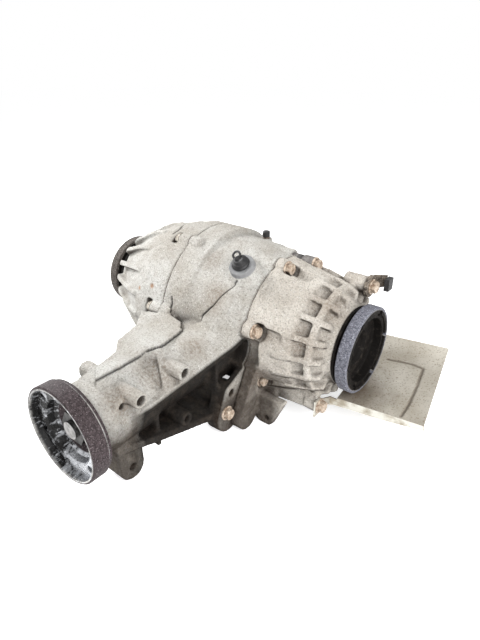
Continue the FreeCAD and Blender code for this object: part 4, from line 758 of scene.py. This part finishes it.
# %% Plate and grooves
PLATE = [
    (-0.236, -0.090), (-0.228, -0.100), (-0.210, -0.107), (-0.194, -0.113), (-0.178, -0.130),
    (-0.174, -0.150), (-0.170, -0.170), (-0.177, -0.187), (-0.174, -0.198), (-0.173, -0.225),
    (-0.174, -0.256), (-0.230, -0.256), (-0.260, -0.110),
]
PLATE_RISE = 0.0022
PLATE_LOW = 0.008
PLATE_HIGH = 0.034
PLATE_EDGE = [(x, y, (PLATE_LOW + PLATE_HIGH) / 2) for x, y in PLATE[1:11]]
CREASE = [
    (-0.145, -0.0675, 0.0734), (-0.156, -0.077, 0.0576), (-0.166, -0.0867, 0.042),
    (-0.179, -0.093, 0.0265), (-0.1785, -0.100, 0.0219),
]
HOUSING_EDGE = [(-0.2307, -0.0938, 0.0372), (-0.2277, -0.0965, 0.030), (-0.2282, -0.1004, 0.0232)]
PAD_EDGE = [
    (-0.2825, -0.034, 0.092), (-0.2817, -0.022, 0.098), (-0.291, -0.004, 0.0987), (-0.289, 0.022, 0.096),
]
CRACK_REACH = 0.0017
CRACK_DEPTH = 0.0014
PAD_DEPTH = 0.0012
# How dark the noted lines are painted: cracks, and painted shade along edges and creases.
CRACK_AND_SHADE_DARK = 1.7
UPWARD = 0.2


def inside(outline, x, y):
    """Whether a place lies inside an outline."""
    crossings = 0
    for (x0, y0), (x1, y1) in zip(outline, outline[1:] + outline[:1]):
        if (y0 > y) != (y1 > y) and x < x0 + (y - y0) / (y1 - y0) * (x1 - x0):
            crossings += 1
    return crossings % 2 == 1


def lift(piece, outline, low, high, rise):
    """Raise the upward faces inside an outline, as a plate that stands proud of the rest."""
    lifted = []
    for vertex in piece.data.vertices:
        x, y, z = vertex.co
        if low < z < high and vertex.normal.z > UPWARD and inside(outline, x, y):
            lifted.append(vertex)
    for vertex in lifted:
        vertex.co.z += rise
    return len(lifted)


def laid(piece, line, step=0.0005):
    """Points along a line, each moved to the nearest point of the surface."""
    points = []
    for start, end in zip(line, line[1:]):
        start, end = Vector(start), Vector(end)
        count = max(1, round((end - start).length / step))
        points += [start.lerp(end, i / count) for i in range(count)]
    return [piece.closest_point_on_mesh(point)[1] for point in points]


def groove(piece, lines, reach, depth):
    """Push the surface in along the lines and note how far, for the finish, which paints the noted points
    dark: as cracks, and as painted shade along edges and creases.
    """
    mesh = piece.data
    tree = KDTree(len(mesh.vertices))
    for vertex in mesh.vertices:
        tree.insert(vertex.co, vertex.index)
    tree.balance()
    share = {}
    for line in lines:
        for point in laid(piece, line):
            for _, index, gap in tree.find_range(point, reach):
                share[index] = max(share.get(index, 0.0), 1.0 - gap / reach)
    crack_and_shade = mesh.attributes.new("crack_and_shade", "FLOAT", "POINT")
    normals = {index: mesh.vertices[index].normal.copy() for index in share}
    for index, value in share.items():
        crack_and_shade.data[index].value = min(1.0, CRACK_AND_SHADE_DARK * value)
        mesh.vertices[index].co -= normals[index] * depth * value
    print(piece.name, "points in grooves", len(share))


print("points of the plate", lift(housing, PLATE, PLATE_LOW, PLATE_HIGH, PLATE_RISE))
# The finish paints these lines dark: painted shadow along the plate's edge, painted shade in the crease, and
# a dark line at the housing's edge.
groove(housing, [CREASE, PLATE_EDGE, HOUSING_EDGE], CRACK_REACH, CRACK_DEPTH)
# A dark line along the pad's edge.
groove(left_cover, [PAD_EDGE], CRACK_REACH, PAD_DEPTH)

# %% [markdown]
# The heat shield is thin sheet, so it isn't rebuilt from voxels, which would eat holes in it. Its mesh is cut
# by a grid of planes instead, which leaves its shape alone and gives the pressed line points to move.

# %% Shield
SHIELD_STEP = 0.0016
EMBOSS = [
    (0.002, 0.067, -0.044), (0.033, 0.069, -0.040), (0.0486, 0.066, -0.039), (0.0537, 0.037, -0.0456),
    (0.0573, 0.004, -0.0536), (0.0571, -0.0165, -0.0589),
]
EMBOSS_REACH = 0.0026
EMBOSS_DEPTH = 0.0011


def gridded(node, axes, step):
    """A copy of a CAD node's mesh with points on a fine grid, in place of the node."""
    source = frame["nodes"][node]
    mesh = source.data.copy()
    work = bmesh.new()
    work.from_mesh(mesh)
    corners = [vertex.co.copy() for vertex in work.verts]
    for axis in axes:
        low = min(corner[axis] for corner in corners)
        high = max(corner[axis] for corner in corners)
        direction = Vector([1.0 if i == axis else 0.0 for i in range(3)])
        for i in range(1, int((high - low) / step)):
            geometry = list(work.verts) + list(work.edges) + list(work.faces)
            place = direction * (low + i * step)
            bmesh.ops.bisect_plane(work, geom=geometry, plane_co=place, plane_no=direction)
    work.to_mesh(mesh)
    work.free()
    piece = added(node + "_sheet", mesh)
    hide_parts(node)
    return piece


shield = gridded("heat_shield", (0, 1), SHIELD_STEP)
dress(shield, "sheet")
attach(shield, "housing")
# The pressed line is painted dark in the finish as painted shade.
groove(shield, [EMBOSS], EMBOSS_REACH, EMBOSS_DEPTH)
print("shield points", len(shield.data.vertices))

# %% [markdown]
# The filler plug is a moulded cap with stacked rings and a curled pull, so it is turned from a profile, and
# the pull is a tube swept along a short curl. Both are one mesh that stands in for the plain CAD plug.

# %% Filler plug
PLUG_TILT = math.radians(122)
PLUG_OUT = Vector((0.0, math.cos(PLUG_TILT), math.sin(PLUG_TILT)))
PLUG_PROFILE = [
    (0.0, 0.0004), (0.0106, 0.0004), (0.0112, 0.0012), (0.0110, 0.0022), (0.0086, 0.0028), (0.0084, 0.0040),
    (0.0096, 0.0046), (0.0098, 0.0058), (0.0090, 0.0066), (0.0070, 0.0068), (0.0064, 0.0078),
    (0.0066, 0.0090), (0.0056, 0.0098), (0.0038, 0.0096), (0.0030, 0.0080), (0.0, 0.0076),
]
PULL = [
    (-0.006, 0.000, 0.005), (-0.0095, 0.002, 0.006), (-0.0115, 0.004, 0.008), (-0.010, 0.008, 0.010),
    (-0.006, 0.009, 0.011), (-0.002, 0.007, 0.011), (0.000, 0.004, 0.010),
]
PULL_R = 0.0014
PULL_BEND = Vector((0.0, 0.2, 1.0))


def ring_faces(rings, sides):
    """Faces that join each ring of corners to the next one."""
    faces = []
    for i in range(rings - 1):
        here, there = i * sides, (i + 1) * sides
        for k in range(sides):
            after = (k + 1) % sides
            faces.append((here + k, here + after, there + after, there + k))
    return faces


def turned(profile, sides=40):
    """Corners and faces of a profile turned about its axis."""
    corners = []
    for radius, height in profile:
        for k in range(sides):
            turn = 2 * math.pi * k / sides
            corners.append(Vector((radius * math.cos(turn), radius * math.sin(turn), height)))
    return corners, ring_faces(len(profile), sides)


def smoothed(path, between):
    """Places along a path that bends softly through its points."""
    knots = [Vector(point) for point in path]
    places = []
    for i in range(len(knots) - 1):
        start, end = knots[i], knots[i + 1]
        before, after = knots[max(i - 1, 0)], knots[min(i + 2, len(knots) - 1)]
        for j in range(between):
            t = j / between
            chord = start * (2 * t ** 3 - 3 * t ** 2 + 1) + end * (3 * t ** 2 - 2 * t ** 3)
            leaving = (end - before) * 0.5 * (t ** 3 - 2 * t ** 2 + t)
            arriving = (after - start) * 0.5 * (t ** 3 - t ** 2)
            places.append(chord + (leaving + arriving))
    places.append(knots[-1])
    return places


def swept(path, radius, sides=12, between=5):
    """Corners and faces of a round tube along a smoothed path, closed at both ends."""
    places = smoothed(path, between)
    corners = []
    for i, place in enumerate(places):
        ahead = (places[min(i + 1, len(places) - 1)] - places[max(i - 1, 0)]).normalized()
        side = ahead.cross(PULL_BEND).normalized()
        other = ahead.cross(side)
        for k in range(sides):
            turn = 2 * math.pi * k / sides
            corners.append(place + radius * (side * math.cos(turn) + other * math.sin(turn)))
    faces = ring_faces(len(places), sides)
    faces.append(tuple(range(sides))[::-1])
    faces.append(tuple(range(len(corners) - sides, len(corners))))
    return corners, faces


corners, faces = turned(PLUG_PROFILE)
more_corners, more_faces = swept(PULL, PULL_R)
faces += [tuple(index + len(corners) for index in face) for face in more_faces]
corners += more_corners
plug_mesh = bpy.data.meshes.new("filler_plug_cap")
across = Vector((1.0, 0.0, 0.0))
upright = PLUG_OUT.cross(across)
place_plug = Matrix((across, upright, PLUG_OUT)).transposed()
plug_mesh.from_pydata([FILLER_SEAT + place_plug @ corner for corner in corners], [], faces)
plug_mesh.shade_smooth()
plug = added("filler_plug_cap", plug_mesh)
dress(plug, "plug")
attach(plug, "housing")
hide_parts("filler_plug")
print("plug points", len(plug_mesh.vertices))
